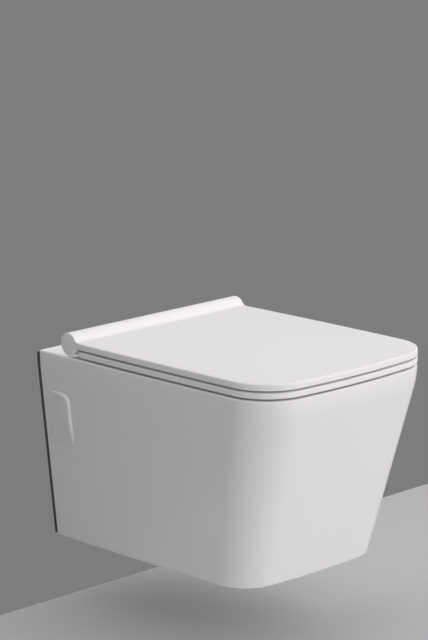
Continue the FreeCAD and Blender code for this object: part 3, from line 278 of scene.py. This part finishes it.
# outline of pan, seat and lid: straight back, sides bowed on one large arc, round corners, crowned front
def shellLoop(spec, inset=0.0):
    half, front, back = spec["half"] - inset, spec["front"] - inset, spec["back"] + inset
    sideRadius, frontRadius = spec["sideRadius"] - inset, spec["frontRadius"] - inset
    corner, backCorner = spec["corner"] - inset, max(spec["backCorner"] - inset, leastCorner)
    sideMiddle, frontMiddle = (half - sideRadius, -spec["widest"]), (0, frontRadius - front)
    middle = circleCrossing(frontMiddle, frontRadius - corner, sideMiddle, sideRadius - corner)
    sideAngle = math.atan2(middle[1] - sideMiddle[1], middle[0] - sideMiddle[0])
    frontAngle = math.atan2(middle[1] - frontMiddle[1], middle[0] - frontMiddle[0])
    startAngle = math.asin((spec["widest"] - back - backCorner) / sideRadius)
    sideX = sideMiddle[0] + sideRadius * math.cos(startAngle)
    cornerMiddle = (sideX - backCorner, -back - backCorner)
    return mirroredLoop(np.concatenate((
        linePoints((0, -back), (cornerMiddle[0], -back), runs["back"]),
        arcPoints(cornerMiddle, backCorner, math.pi / 2, 0, runs["backCorner"]),
        arcPoints(sideMiddle, sideRadius, startAngle, sideAngle, runs["side"]),
        arcPoints(middle, corner, sideAngle, frontAngle, runs["corner"]),
        arcPoints(frontMiddle, frontRadius, frontAngle, -math.pi / 2, runs["front"]),
        np.array([[0, -front]]))))


# half width of such an outline at a distance from the back plane, on the arc of its side
def arcSide(spec, distance):
    radius = spec["sideRadius"]
    return spec["half"] - radius + np.sqrt(radius ** 2 - (spec["widest"] - distance) ** 2)


# rectangle with round corners, grown by an outset, with as many points as the shell's outline
def ringLoop(half, back, front, backCorner, frontCorner, grow=0.0):
    half, back, front = half + grow, back - grow, front + grow
    backCorner, frontCorner = backCorner + grow, frontCorner + grow
    backMiddle = (half - backCorner, -back - backCorner)
    frontMiddle = (half - frontCorner, -front + frontCorner)
    return mirroredLoop(np.concatenate((
        linePoints((0, -back), (backMiddle[0], -back), runs["back"]),
        arcPoints(backMiddle, backCorner, math.pi / 2, 0, runs["backCorner"]),
        linePoints((half, backMiddle[1]), (half, frontMiddle[1]), runs["side"]),
        arcPoints(frontMiddle, frontCorner, 0, -math.pi / 2, runs["corner"]),
        linePoints((frontMiddle[0], -front), (0, -front), runs["front"]),
        np.array([[0, -front]]))))


# a plan loop lifted to one height
def atHeight(loop, z):
    return np.column_stack((loop, np.full(len(loop), z)))


# a side-view loop of y and z moved to one x
def atSide(flat, x):
    return np.column_stack((np.full(len(flat), x), flat))


# loops on the straight way from one loop to another: start + (end - start) * share, without the start
def between(start, end, rows):
    return [start + (end - start) * share for share in np.linspace(0, 1, rows)[1:]]


# faces between following loops, joined round each loop, with flat ends closed;
# where closed is set, the last loop is joined to the first instead
def loopMesh(name, loops, closed=False):
    loops = np.asarray(loops)
    rows, count = loops.shape[:2]
    ids = np.arange(rows * count).reshape(rows, count)
    after = np.roll(ids, -1, axis=1)
    upper = np.roll(ids, -1, axis=0) if closed else ids[1:]
    upperAfter = np.roll(upper, -1, axis=1)
    last = len(upper)
    faces = np.stack((ids[:last], after[:last], upperAfter, upper), axis=-1).reshape(-1, 4).tolist()
    if not closed:
        faces += [ids[0][::-1].tolist(), ids[-1].tolist()]
    mesh = bpy.data.meshes.new(name)
    mesh.from_pydata(loops.reshape(-1, 3).tolist(), [], faces)
    piece = bpy.data.objects.new(name, mesh)
    bpy.context.collection.objects.link(piece)
    faceOutwards(piece)
    return piece


samePoint = 1e-7  # points nearer than this are joined


# turns all faces outwards after joining points that lie together: a closed shell's signed volume is positive
def faceOutwards(piece):
    work = bmesh.new()
    work.from_mesh(piece.data)
    bmesh.ops.remove_doubles(work, verts=work.verts, dist=samePoint)
    bmesh.ops.recalc_face_normals(work, faces=work.faces)
    if work.calc_volume(signed=True) < 0:
        bmesh.ops.reverse_faces(work, faces=work.faces)
    work.to_mesh(piece.data)
    work.free()


# takes the cutters' room out of a piece and removes the cutters
def carve(piece, *cutters):
    for cutter in cutters:
        change = piece.modifiers.new(cutter.name, "BOOLEAN")
        change.operation = "DIFFERENCE"
        change.solver = "MANIFOLD"
        change.object = cutter
    bpy.context.view_layer.update()
    result = bpy.data.meshes.new_from_object(piece.evaluated_get(bpy.context.evaluated_depsgraph_get()))
    piece.modifiers.clear()
    piece.data = result
    for cutter in cutters:
        bpy.data.objects.remove(cutter)


# makes one piece of several
def merge(name, *pieces):
    work = bmesh.new()
    for piece in pieces:
        work.from_mesh(piece.data)
    mesh = bpy.data.meshes.new(name)
    work.to_mesh(mesh)
    work.free()
    for piece in pieces:
        bpy.data.objects.remove(piece)
    joined = bpy.data.objects.new(name, mesh)
    bpy.context.collection.objects.link(joined)
    return joined


# smooth shading, with sharp edges where two faces turn by an angle in degrees or more, and at open edges
def shade(piece, sharp):
    work = bmesh.new()
    work.from_mesh(piece.data)
    for face in work.faces:
        face.smooth = True
    for edge in work.edges:
        edge.smooth = edge.calc_face_angle(math.pi) < math.radians(sharp)
    work.to_mesh(piece.data)
    work.free()


# a piece's look and its place in the assembly: shading, material, slot, body and the nodes it stands for
def install(piece, slot, body, *nodes, sharp=35.0):
    shade(piece, sharp)
    piece.data.materials.clear()
    piece.data.materials.append(finishes[slot])
    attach(piece, body)
    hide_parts(*nodes)


# quarter turns of an edge: pairs of inset and drop, radius * (1 - cos) and radius * (1 - sin)
def edgeRound(radius, steps):
    angles = np.linspace(0, math.pi / 2, steps + 1)
    return [(radius * (1 - math.cos(a)), radius * (1 - math.sin(a))) for a in angles]


# a tube along a path: circles of one radius, square to the path's direction in the plane x = 0
def tubeLoops(path, radius, count=48):
    path = np.asarray(path)
    way = np.gradient(path, axis=0)
    way = way / np.linalg.norm(way, axis=1)[:, None]
    aside = np.array((1.0, 0.0, 0.0))
    upward = np.cross(way, aside)
    angles = np.linspace(0, 2 * math.pi, count, endpoint=False)
    ring = np.cos(angles)[None, :, None] * aside + np.sin(angles)[None, :, None] * upward[:, None, :]
    return path[:, None, :] + radius * ring


# a round bar along y at one height: two circles joined
def straightTube(name, startY, endY, z, radius):
    return loopMesh(name, tubeLoops([(0, startY, z), (0, endY, z)], radius))


# a hollow round sleeve along x or y: outside, end, inside, end, joined to a closed ring
def sleeve(name, axis, middle, outer, inner, start, end, edge=0.001, count=96):
    angles = np.linspace(0, 2 * math.pi, count, endpoint=False)
    stations = [(inner, start), (outer - edge, start), (outer, start + edge), (outer, end - edge),
                (outer - edge, end), (inner + edge, end), (inner, end - edge)]
    loops = []
    for radius, along in stations:
        circle = [middle[0] + radius * np.cos(angles), middle[1] + radius * np.sin(angles)]
        circle.insert("xy".index(axis), np.full(count, along))
        loops.append(np.column_stack(circle))
    return loopMesh(name, loops, closed=True)


# a box between two corners: its plan at the lower and at the upper height
def boxMesh(name, low, high):
    x, y = (low[0], high[0]), (low[1], high[1])
    plan = np.array(((x[0], y[0]), (x[1], y[0]), (x[1], y[1]), (x[0], y[1])))
    return loopMesh(name, [atHeight(plan, low[2]), atHeight(plan, high[2])])


# pan

pan = {
    "rim": {"half": 0.185, "front": 0.505, "corner": 0.073, "sideRadius": 8.0, "frontRadius": 1.2,
            "back": 0.005, "backCorner": 0.003, "widest": 0.29},
    "base": {"half": 0.151, "front": 0.426, "corner": 0.058, "sideRadius": 16.0, "frontRadius": 1.2,
             "back": 0.005, "backCorner": 0.003, "widest": 0.29},
    "top": 0.09, "bottom": -0.215, "shoulder": 0.072,
    "rimRound": 0.003, "footRound": 0.003,
    "mouth": {"half": 0.138, "back": 0.155, "front": 0.473, "backCorner": 0.060, "frontCorner": 0.105},
    "sump": {"half": 0.034, "back": 0.290, "front": 0.350, "backCorner": 0.026, "frontCorner": 0.026},
    "lipRound": 0.006, "lip": 0.026, "ledge": 0.018, "undercut": 0.006, "depth": 0.283,
    "narrowing": 0.75, "falling": 0.8, "sharp": 40.0,
}
panRows = {"foot": 8, "side": 46, "rim": 6, "deck": 7, "lipRound": 7, "lip": 5, "ledge": 9, "bowl": 48}


# share of the way from base to rim at a height: straight, then easing to upright over the top band
def skirtShare(z):
    whole = (z - pan["bottom"]) / (pan["shoulder"] - pan["bottom"])
    ends = (pan["top"] - pan["bottom"]) / (pan["shoulder"] - pan["bottom"])
    start = 2 - ends
    over = np.clip(whole - start, 0, None)
    return whole - over ** 2 / (2 * (ends - start))


# loop of the pan's outside at a height: base + (rim - base) * share, both moved in by an inset
def skirtLoop(z, inset=0.0):
    low, high = shellLoop(pan["base"], inset), shellLoop(pan["rim"], inset)
    return atHeight(low + (high - low) * skirtShare(z), z)


# bowl loop at a share from ledge to sump: its sides close as (1 - share)^narrowing and its back falls as
# share^falling
def bowlLoop(share):
    narrow, fall = (1 - share) ** pan["narrowing"], share ** pan["falling"]
    mouth, sump, under = pan["mouth"], pan["sump"], pan["undercut"]
    half = sump["half"] + (mouth["half"] + under - sump["half"]) * narrow
    back = mouth["back"] - under + (sump["back"] - mouth["back"] + under) * fall
    front = sump["front"] + (mouth["front"] + under - sump["front"]) * narrow
    corners = [sump[c] + (mouth[c] - sump[c]) * narrow for c in ("backCorner", "frontCorner")]
    start = pan["lip"] + pan["ledge"]
    z = pan["top"] - start - (pan["depth"] - start) * share
    return atHeight(ringLoop(half, back, front, *corners), z)


# ease from 0 to 1 between two values: share^2 * (3 - 2 * share)
def easeBetween(start, end, values):
    share = np.clip((values - start) / (end - start), 0, 1)
    return share ** 2 * (3 - 2 * share)


# outside from the foot up, over the rim, and down the bowl to its floor
def panLoops():
    mouth, top, foot, rim = pan["mouth"], pan["top"], pan["footRound"], pan["rimRound"]
    loops = [skirtLoop(pan["bottom"] + rise, i) for i, rise in reversed(edgeRound(foot, panRows["foot"]))]
    heights = np.linspace(pan["bottom"] + foot, top - rim, panRows["side"])
    loops += [skirtLoop(z) for z in heights[1:]]
    loops += [skirtLoop(top - drop, i) for i, drop in edgeRound(rim, panRows["rim"])[1:]]
    loops += between(loops[-1], atHeight(ringLoop(**mouth, grow=pan["lipRound"]), top), panRows["deck"])
    for drop, grow in edgeRound(pan["lipRound"], panRows["lipRound"])[1:]:
        loops.append(atHeight(ringLoop(**mouth, grow=grow), top - drop))
    for drop in np.linspace(pan["lipRound"], pan["lip"], panRows["lip"])[1:]:
        loops.append(atHeight(ringLoop(**mouth), top - drop))
    for share in np.linspace(0, 1, panRows["ledge"])[1:]:
        grow = pan["undercut"] * easeBetween(0, 1, share)
        loops.append(atHeight(ringLoop(**mouth, grow=grow), top - (pan["lip"] + pan["ledge"] * share)))
    loops += [bowlLoop(1 - (1 - u) ** 2) for u in np.linspace(0, 1, panRows["bowl"])[1:]]
    return loops


trap = {
    "corners": [(-0.320, -0.166), (-0.232, -0.166), (-0.150, -0.060), (-0.105, -0.100), (-0.047, -0.100)],
    "radius": 0.027, "bend": 0.040, "bendRows": 11,
}


# middle line of the trap: straight runs joined by arcs of one bend radius that touch both runs
def trapPath():
    points = [np.array((0.0, y, z)) for y, z in trap["corners"]]
    share = np.linspace(0, 1, trap["bendRows"])[:, None]
    path = points[:1]
    for before, corner, after in zip(points, points[1:], points[2:]):
        wayIn = (before - corner) / np.linalg.norm(before - corner)
        wayOut = (after - corner) / np.linalg.norm(after - corner)
        halfTurn = math.acos(np.clip(wayIn @ wayOut, -1, 1)) / 2
        reach = trap["bend"] / math.tan(halfTurn)
        middleWay = (wayIn + wayOut) / np.linalg.norm(wayIn + wayOut)
        middle = corner + middleWay * trap["bend"] / math.sin(halfTurn)
        first, last = corner + wayIn * reach - middle, corner + wayOut * reach - middle
        turn = math.acos(np.clip(first @ last / trap["bend"] ** 2, -1, 1))
        spots = np.sin((1 - share) * turn) * first + np.sin(share * turn) * last
        path.append(middle + spots / math.sin(turn))
    return np.vstack(path + points[-1:])


connections = {
    "inletZ": 0.035, "outletZ": -0.100,
    "pocketHalf": 0.062, "pocketTop": 0.0745, "pocketDeep": 0.080, "pocketEnd": 0.01,
    "flushWay": 0.020, "flushStart": -0.172, "flushEnd": -0.07,
    "outletBore": 0.042, "outletStart": -0.095, "outletEnd": -0.06,
    "spigot": 0.051, "horn": 0.0365, "hornBore": 0.0275, "sleeveStart": -0.085, "sleeveEnd": -0.015,
}


# the loops' solid less the back pocket, the trap and the two ways into it, with a sleeve at each connection
def makePan():
    rear = connections
    half, inletZ, outletZ = rear["pocketHalf"], rear["inletZ"], rear["outletZ"]
    sleeveEnds = rear["sleeveStart"], rear["sleeveEnd"]
    body = loopMesh("pan_glaze", panLoops())
    carve(
        body,
        boxMesh("backPocket", (-half, -rear["pocketDeep"], outletZ - half),
                (half, rear["pocketEnd"], rear["pocketTop"])),
        loopMesh("trapWay", tubeLoops(trapPath(), trap["radius"])),
        straightTube("outletWay", rear["outletStart"], rear["outletEnd"], outletZ, rear["outletBore"]),
        straightTube("flushWay", rear["flushStart"], rear["flushEnd"], inletZ, rear["flushWay"]))
    spigot = sleeve("spigot", "y", (0, outletZ), rear["spigot"], rear["outletBore"], *sleeveEnds)
    horn = sleeve("horn", "y", (0, inletZ), rear["horn"], rear["hornBore"], *sleeveEnds)
    return merge("pan_glaze", body, spigot, horn)


install(makePan(), "glazed_ceramic", "pan", "pan", "pan_bowl", "pan_trap", "pan_inlet", sharp=pan["sharp"])
print("pan made")


# side covers

cover = {
    "at": 0.04325, "depth": 0.1045, "width": 0.0525, "height": 0.088, "corner": 0.016, "leastCorner": 0.001,
    "proud": 0.0039, "edge": 0.0036, "edgeRows": 8, "soft": 0.0040, "flatRows": (0.008, 0.014),
    "step": 0.0131, "sink": 0.8, "sinkFrom": -0.6, "sinkTo": 0.9,
}


# where the pan's right side lies at a distance from the back plane and a depth below the rim:
# low + (high - low) * share, between the arcs of base and rim
def sidePoint(distance, depth):
    band = pan["top"] - pan["shoulder"]
    share = 1 - (depth - band) / (pan["top"] - pan["bottom"] - band)
    low, high = (arcSide(pan[level], distance) for level in ("base", "rim"))
    return np.array((low + (high - low) * share, -distance, pan["top"] - depth))


# plate on the pan's side: rounded rectangles moved out along the side's normal, with a round outer edge;
# it stands proud at its front and top and sinks by a share towards its rear and lower edges
def makeCover(name, side):
    at, depth, step = cover["at"], cover["depth"], cover["step"]
    backward = sidePoint(at - step, depth) - sidePoint(at + step, depth)
    backward /= np.linalg.norm(backward)
    upward = sidePoint(at, depth - step) - sidePoint(at, depth + step)
    outward = np.cross(backward, upward)
    outward /= np.linalg.norm(outward)
    upward = np.cross(outward, backward)
    soften, proud = cover["soft"] / cover["edge"], cover["proud"]
    steps = [(0.0, 0.0)] + [(i * soften, proud - d) for i, d in edgeRound(cover["edge"], cover["edgeRows"])]
    steps += [(inset, proud) for inset in cover["flatRows"]]
    loops = []
    for inset, lift in steps:
        corner = max(cover["corner"] - inset, cover["leastCorner"])
        half, tall = cover["width"] / 2 - inset, cover["height"] / 2 - inset
        flat = ringLoop(half, -tall, tall, corner, corner)
        x, z = flat[:, :1], flat[:, 1:]
        rearShare = easeBetween(cover["sinkFrom"], cover["sinkTo"], x / (cover["width"] / 2))
        lowShare = easeBetween(0, 1, -z / (cover["height"] / 2))
        height = lift * (1 - cover["sink"] * (1 - (1 - rearShare) * (1 - lowShare)))
        loops.append(sidePoint(at, depth) + x * backward + z * upward + height * outward)
    return loopMesh(name, np.array(loops) * np.array((side, 1, 1)))


install(makeCover("cover_skin_right", 1), "cover_plastic", "pan", "side_cover_right")
install(makeCover("cover_skin_left", -1), "cover_plastic", "pan", "side_cover_left")
print("side covers made")


# seat

hinge = {"axis": (-0.075, 0.1105), "travel": 95}  # y and z of the axis, and each turn in degrees

seat = {
    "outline": dict(pan["rim"], back=0.098, backCorner=0.003),
    "hole": {"half": 0.112, "back": 0.172, "front": 0.440, "backCorner": 0.055, "frontCorner": 0.090},
    "low": 0.093, "high": 0.103, "edge": 0.0024, "topEdge": 0.001, "edgeDrop": 0.0009, "innerEdge": 0.0045,
    "edgeRows": 6, "innerRows": 7, "flatRows": 8,
    "slot": (0.0675, 0.0875), "slotFront": 0.107, "slotBack": 0.06, "slotPast": 0.01,
    "eye": 0.010, "axle": 0.00405, "damper": 0.0081, "lugs": (0.0525, 0.1025), "lugEdge": 0.0006,
    "setBack": 0.0002,
    "arm": [(-0.108, 0.0944), (-0.1005, 0.093), (-0.090, 0.093), (-0.086, 0.0969), (-0.0829, 0.1008),
            (-0.0793, 0.1029), (-0.0826, 0.1061), (-0.0838, 0.1105), (-0.088, 0.103), (-0.1005, 0.1018),
            (-0.108, 0.1010)],
}


# cross-section round the ring: outer edge, top, inner edge, underside
def seatLoops():
    low, high, outline, hole = seat["low"], seat["high"], seat["outline"], seat["hole"]
    lowEdge = edgeRound(seat["edge"], seat["edgeRows"])
    topEdge = edgeRound(seat["topEdge"], seat["edgeRows"])
    innerEdge = edgeRound(seat["innerEdge"], seat["innerRows"])
    edgeTop = high - seat["edgeDrop"]
    loops = [atHeight(shellLoop(outline, inset), low + rise) for inset, rise in reversed(lowEdge)]
    loops += [atHeight(shellLoop(outline, inset), edgeTop - drop) for inset, drop in topEdge]
    loops += between(loops[-1], atHeight(ringLoop(**hole, grow=seat["innerEdge"]), high), seat["flatRows"])
    loops += [atHeight(ringLoop(**hole, grow=grow), high - drop) for drop, grow in innerEdge[1:]]
    loops += [atHeight(ringLoop(**hole, grow=grow), low + rise) for grow, rise in lowEdge]
    return loops + between(loops[-1], loops[0], seat["flatRows"])[:-1]


# a side-view outline carried along x, drawn in by an edge at both ends
def prism(name, outline, startX, endX, edge):
    flat = np.asarray(outline)
    middle = flat.mean(axis=0)
    ways = flat - middle
    shrunk = middle + ways * (1 - edge / np.linalg.norm(ways, axis=1)[:, None])
    stations = ((startX, shrunk), (startX + edge, flat), (endX - edge, flat), (endX, shrunk))
    return loopMesh(name, [atSide(shape, x) for x, shape in stations])


# the ring with two slots for the hinge blocks, and beside each slot two arms that end in eyes
def makeSeat():
    ring = loopMesh("seat_ring", seatLoops(), closed=True)
    pieces, slots = [ring], []
    inner = (seat["lugs"][0], seat["slot"][0] - seat["setBack"])
    outer = (seat["slot"][1] + seat["setBack"], seat["lugs"][1])
    for side in (1, -1):
        low, high = sorted(side * x for x in seat["slot"])
        slots.append(boxMesh(
            f"slot{side}", (low, -seat["slotFront"], seat["low"] - seat["slotPast"]),
            (high, -seat["slotBack"], seat["high"] + seat["slotPast"])))
        for span in (inner, outer):
            low, high = sorted(side * x for x in span)
            damped = side > 0 and span is outer  # this lug houses the damper
            bore = seat["damper"] if damped else seat["axle"]
            pieces.append(prism("arm", seat["arm"], low, high, seat["lugEdge"]))
            pieces.append(sleeve("eye", "x", hinge["axis"], seat["eye"], bore, low, high, seat["lugEdge"]))
    carve(ring, *slots)
    return merge("seat_shell", *pieces)


install(makeSeat(), "seat_plastic", "seat", "seat")
print("seat made")


# lid

lid = {
    "outline": dict(pan["rim"], back=0.0875, backCorner=0.001),
    "low": 0.1055, "high": 0.1155, "edge": 0.0024, "lowEdge": 0.0008, "edgeRows": 6,
    "barrel": 0.0175, "cove": 0.008, "coveRows": 14, "roundRows": 110,
    "under": 0.0006, "tail": ((-0.0905, 0.0008), (-0.0935, 0.003)), "endEdge": 0.0016, "endRows": 5,
}


# thin plate: the outline carried up its round lower and upper edges
def slabLoops():
    low, high, outline, rows = lid["low"], lid["high"], lid["outline"], lid["edgeRows"]
    loops = [atHeight(shellLoop(outline, i), low + d) for i, d in reversed(edgeRound(lid["lowEdge"], rows))]
    loops += [atHeight(shellLoop(outline, i), high - d) for i, d in edgeRound(lid["edge"], rows)]
    return loops


# side view of the roll: hollow cove up from the lid's top, round over the back, and under to the slab
def barrelProfile():
    axis, radius, cove = np.array(hinge["axis"]), lid["barrel"], lid["cove"]
    rise = lid["high"] - axis[1] + cove
    reach = math.sqrt((radius + cove) ** 2 - rise ** 2)
    coveMiddle = axis + np.array((-reach, rise))
    meet = math.atan2(rise, -reach)
    under = math.pi + math.asin((axis[1] - lid["low"] - lid["under"]) / radius)
    return np.concatenate((
        arcPoints(coveMiddle, cove, -math.pi / 2, meet - math.pi, lid["coveRows"]),
        arcPoints(axis, radius, meet, under - 2 * math.pi, lid["roundRows"]),
        np.array([(y, lid["low"] + rise) for y, rise in lid["tail"]])))


# inward normals of a side-view loop, from the way between its neighbours
def inwards(flat):
    way = np.roll(flat, -1, axis=0) - np.roll(flat, 1, axis=0)
    normal = np.column_stack((way[:, 1], -way[:, 0]))
    normal /= np.linalg.norm(normal, axis=1)[:, None]
    towards = flat.mean(axis=0) - flat
    if (normal * towards).sum() < 0:
        normal = -normal
    return normal


# the roll: its side view carried from one side of the lid to the other, with round edges at the ends
def makeBarrel():
    flat = barrelProfile()
    normal = inwards(flat)
    rounding = edgeRound(lid["endEdge"], lid["endRows"])
    stations = [(-1, *step) for step in reversed(rounding)] + [(1, *step) for step in rounding]
    loops = []
    for side, inset, drop in stations:
        ends = side * (arcSide(lid["outline"], -flat[:, 0]) - drop)
        loops.append(np.column_stack((ends, flat + normal * inset)))
    return loopMesh("barrel", loops)


notch = {
    "endWall": 0.008, "bore": 0.0125, "boreRows": 64, "slotHalf": 0.007, "slotDeep": 0.03,
    "block": (0.0675, 0.0875), "lugs": (0.0515, 0.1035), "neckAhead": 0.011, "armUnder": 0.006,
    "past": 0.001, "rows": 60, "spare": 3, "blockSpare": 8,
}


# slice of a round bar on the hinge axis between two angles in degrees, from one x to another
def sector(name, startX, endX, first, last):
    radius = lid["barrel"] + notch["past"]
    rim = arcPoints(hinge["axis"], radius, math.radians(first), math.radians(last), notch["rows"])
    flat = np.concatenate((rim, np.array((hinge["axis"],))))
    return loopMesh(name, [atSide(flat, x) for x in (startX, endX)])


# room in the roll: a bore on the axis, a slot below it, and on each side slices for the seat's lugs, which
# turn by the travel, and for the hinge block, which stays behind while lid and seat turn by it twice
def barrelCutters():
    y, z = hinge["axis"]
    endX = arcSide(lid["outline"], -y) - notch["endWall"]
    bore = arcPoints((y, z), notch["bore"], 0, 2 * math.pi, notch["boreRows"])
    tools = [
        loopMesh("bore", [atSide(bore, x) for x in (-endX, endX)]),
        boxMesh("slot", (-endX, y - notch["slotHalf"], z - notch["slotDeep"]),
                (endX, y + notch["slotHalf"], z)),
    ]
    neck = math.degrees(math.acos(notch["neckAhead"] / lid["barrel"])) - 180
    first = math.degrees(math.asin(notch["armUnder"] / lid["barrel"])) - (180 + notch["spare"])
    turns = {
        "block": neck + (2 * hinge["travel"] + notch["blockSpare"]),
        "lugs": neck + (hinge["travel"] + notch["spare"]),
    }
    for side in (1, -1):
        for name, last in turns.items():
            low, high = sorted(side * x for x in notch[name])
            tools.append(sector(f"{name}Notch{side}", low, high, first, last))
    return tools


# the plate and the roll, which share their room where they meet
def makeLid():
    slab = loopMesh("lid_slab", slabLoops())
    barrel = makeBarrel()
    carve(barrel, *barrelCutters())
    return merge("lid_shell", slab, barrel)


install(makeLid(), "seat_plastic", "lid", "lid")
print("lid made")


# small pieces

# angles in degrees
dressing = {"samePoint": 1e-6, "flat": 0.5, "sharp": 30.0, "bevelFrom": 40.0, "bevelRows": 2}


# a node's own shape with its points joined, edges sharp by angle and a fine bevel that catches light
def dress(node, slot, body, bevel):
    source = frame["nodes"][node]
    piece = bpy.data.objects.new(f"{node}_skin", source.data.copy())
    bpy.context.collection.objects.link(piece)
    work = bmesh.new()
    work.from_mesh(piece.data)
    bmesh.ops.remove_doubles(work, verts=work.verts, dist=dressing["samePoint"])
    bmesh.ops.dissolve_limit(
        work, angle_limit=math.radians(dressing["flat"]), verts=work.verts, edges=work.edges,
        delimit={"NORMAL"})
    bmesh.ops.recalc_face_normals(work, faces=work.faces)
    work.to_mesh(piece.data)
    work.free()
    install(piece, slot, body, node, sharp=dressing["sharp"])
    if bevel:
        rounding = piece.modifiers.new("edges", "BEVEL")
        rounding.width = bevel
        rounding.segments = dressing["bevelRows"]
        rounding.limit_method = "ANGLE"
        rounding.angle_limit = math.radians(dressing["bevelFrom"])
        rounding.harden_normals = False
    return piece


bevels = {
    "flush_distributor": 0.0005, "wall_gasket": 0.0, "flush_pipe": 0.0004, "inlet_seal": 0.0004,
    "waste_connector": 0.0005, "outlet_seal": 0.0004, "wall_studs": 0.0005, "stud_sleeves": 0.0003,
    "stud_washers": 0.0003, "stud_nuts": 0.0005, "hinge_pads": 0.0002, "hinge_base_right": 0.0002,
    "hinge_base_left": 0.0002, "hinge_screws": 0.0002, "hinge_plugs": 0.0003, "plug_nuts": 0.0003,
    "hinge_block_right": 0.0004, "hinge_block_left": 0.0004, "hinge_axle_right": 0.0003,
    "hinge_axle_left": 0.0003, "release_button_right": 0.0004, "release_button_left": 0.0004,
    "seat_damper": 0.0003, "seat_buffers": 0.0005, "lid_bushes": 0.0003, "lid_damper": 0.0003,
    "lid_buffers": 0.0005,
}
slotOf = {row["node"]: row["material_slot"] for row in frame["record"]["subparts"]}
bodyOf = {node: body for body, nodes in frame["record"]["behaviour"]["bodies"].items() for node in nodes}
dressed = {node: dress(node, slotOf[node], bodyOf[node], bevel) for node, bevel in bevels.items()}
dressed["wall_studs"].data.materials[0] = finishes["stud_thread"]
print("small pieces dressed,", len(dressed))


# lowers a piece's top edge to a height: z = smaller of z and height
def trimTop(piece, height):
    mesh = piece.data
    spots = np.empty(len(mesh.vertices) * 3)
    mesh.vertices.foreach_get("co", spots)
    spots[2::3] = np.minimum(spots[2::3], height)
    mesh.vertices.foreach_set("co", spots)
    mesh.update()


gasketTop = 0.086  # just out of sight behind the deck
trimTop(dressed["wall_gasket"], gasketTop)


# stage, light and camera

stage = {
    "floorZ": -0.321, "size": 14.0, "backEdge": 0.0,
    "dark": (0.50, 0.50, 0.505), "light": (0.52, 0.52, 0.525), "cloudScale": 1.2, "rough": 0.7, "shine": 0.2,
}


# one flat sheet in front of the plane that the pan hangs on, with a pale, faintly clouded finish
def makeFloor():
    size, back, z = stage["size"], stage["backEdge"], stage["floorZ"]
    corners = [(-size, -size, z), (size, -size, z), (size, back, z), (-size, back, z)]
    mesh = bpy.data.meshes.new("floor")
    mesh.from_pydata(corners, [], [(0, 1, 2, 3)])
    floor = bpy.data.objects.new("floor", mesh)
    bpy.context.collection.objects.link(floor)
    material, surface, place = newMaterial("floor")
    tint(noise(place, stage["cloudScale"]), stage["dark"], stage["light"]).feed(surface, "Base Color")
    surface.inputs["Roughness"].default_value = stage["rough"]
    surface.inputs["Specular IOR Level"].default_value = stage["shine"]
    mesh.materials.append(material)


lightColour = (1.0, 0.97, 0.99)
lamps = {
    "key": {"towards": (0.72, -0.69, 0.14), "power": 3.33, "spread": 110.0, "mirrored": False},
    "fill": {"towards": (-0.50, -0.86, 0.10), "power": 1.42, "spread": 70.0, "mirrored": True},
    "above": {"towards": (0.20, 0.70, 1.0), "power": 1.51, "spread": 110.0, "mirrored": True},
}


# a far lamp that shines from a direction, softened by its spread in degrees; some don't show in the glaze
def addLamp(name, spec):
    lamp = bpy.data.lights.new(name, "SUN")
    lamp.energy = spec["power"]
    lamp.color = lightColour
    lamp.angle = math.radians(spec["spread"])
    holder = bpy.data.objects.new(name, lamp)
    holder.visible_glossy = spec["mirrored"]
    turn = (-Vector(spec["towards"])).to_track_quat("-Z", "Y")
    holder.matrix_world = turn.to_matrix().to_4x4()
    bpy.context.collection.objects.link(holder)


surround = {"light": 0.08, "seen": 0.21}


# even grey all round: one strength for the light it gives, a higher one where it is seen or mirrored
def addWorld():
    world = bpy.data.worlds.new("world")
    bpy.context.scene.world = world
    world.use_nodes = True
    tree = world.node_tree
    sky = tree.nodes["Background"]
    rays = tree.nodes.new("ShaderNodeLightPath")
    seen, mirrored, through = (
        Wire(tree, rays.outputs[f"Is {kind} Ray"]) for kind in ("Camera", "Glossy", "Transmission"))
    direct = seen.maths("MAXIMUM", seen.maths("MAXIMUM", seen, mirrored), through)
    strength = direct * (surround["seen"] - surround["light"]) + surround["light"]
    strength.feed(sky, "Strength")
    sky.inputs["Color"].default_value = (*lightColour, 1)


view = {
    "place": (-2.9689, -3.182, 1.1126), "yaw": 44.9385, "pitch": 13.0345, "roll": -0.1785,
    "lens": 158.4685, "sensor": 36.0, "far": 60.0,
}


# camera axes: forward from yaw and pitch, then right and up turned about it by the roll
def addCamera():
    yaw, pitch, roll = (math.radians(view[k]) for k in ("yaw", "pitch", "roll"))
    forward = Vector((math.sin(yaw) * math.cos(pitch), math.cos(yaw) * math.cos(pitch), -math.sin(pitch)))
    right = forward.cross(Vector((0, 0, 1))).normalized()
    up = right.cross(forward)
    sideways = right * math.cos(roll) + up * math.sin(roll)
    upward = up * math.cos(roll) - right * math.sin(roll)
    lens = bpy.data.cameras.new("camera")
    lens.sensor_width = view["sensor"]
    lens.lens = view["lens"]
    lens.clip_end = view["far"]
    camera = bpy.data.objects.new("camera", lens)
    axes = Matrix((sideways, upward, -forward)).transposed().to_4x4()
    camera.matrix_world = Matrix.Translation(Vector(view["place"])) @ axes
    bpy.context.collection.objects.link(camera)
    bpy.context.scene.camera = camera


makeFloor()
for name, spec in lamps.items():
    addLamp(name, spec)
addWorld()
addCamera()
bpy.context.scene.view_settings.view_transform = "Standard"
print("stage, lamps and camera set")
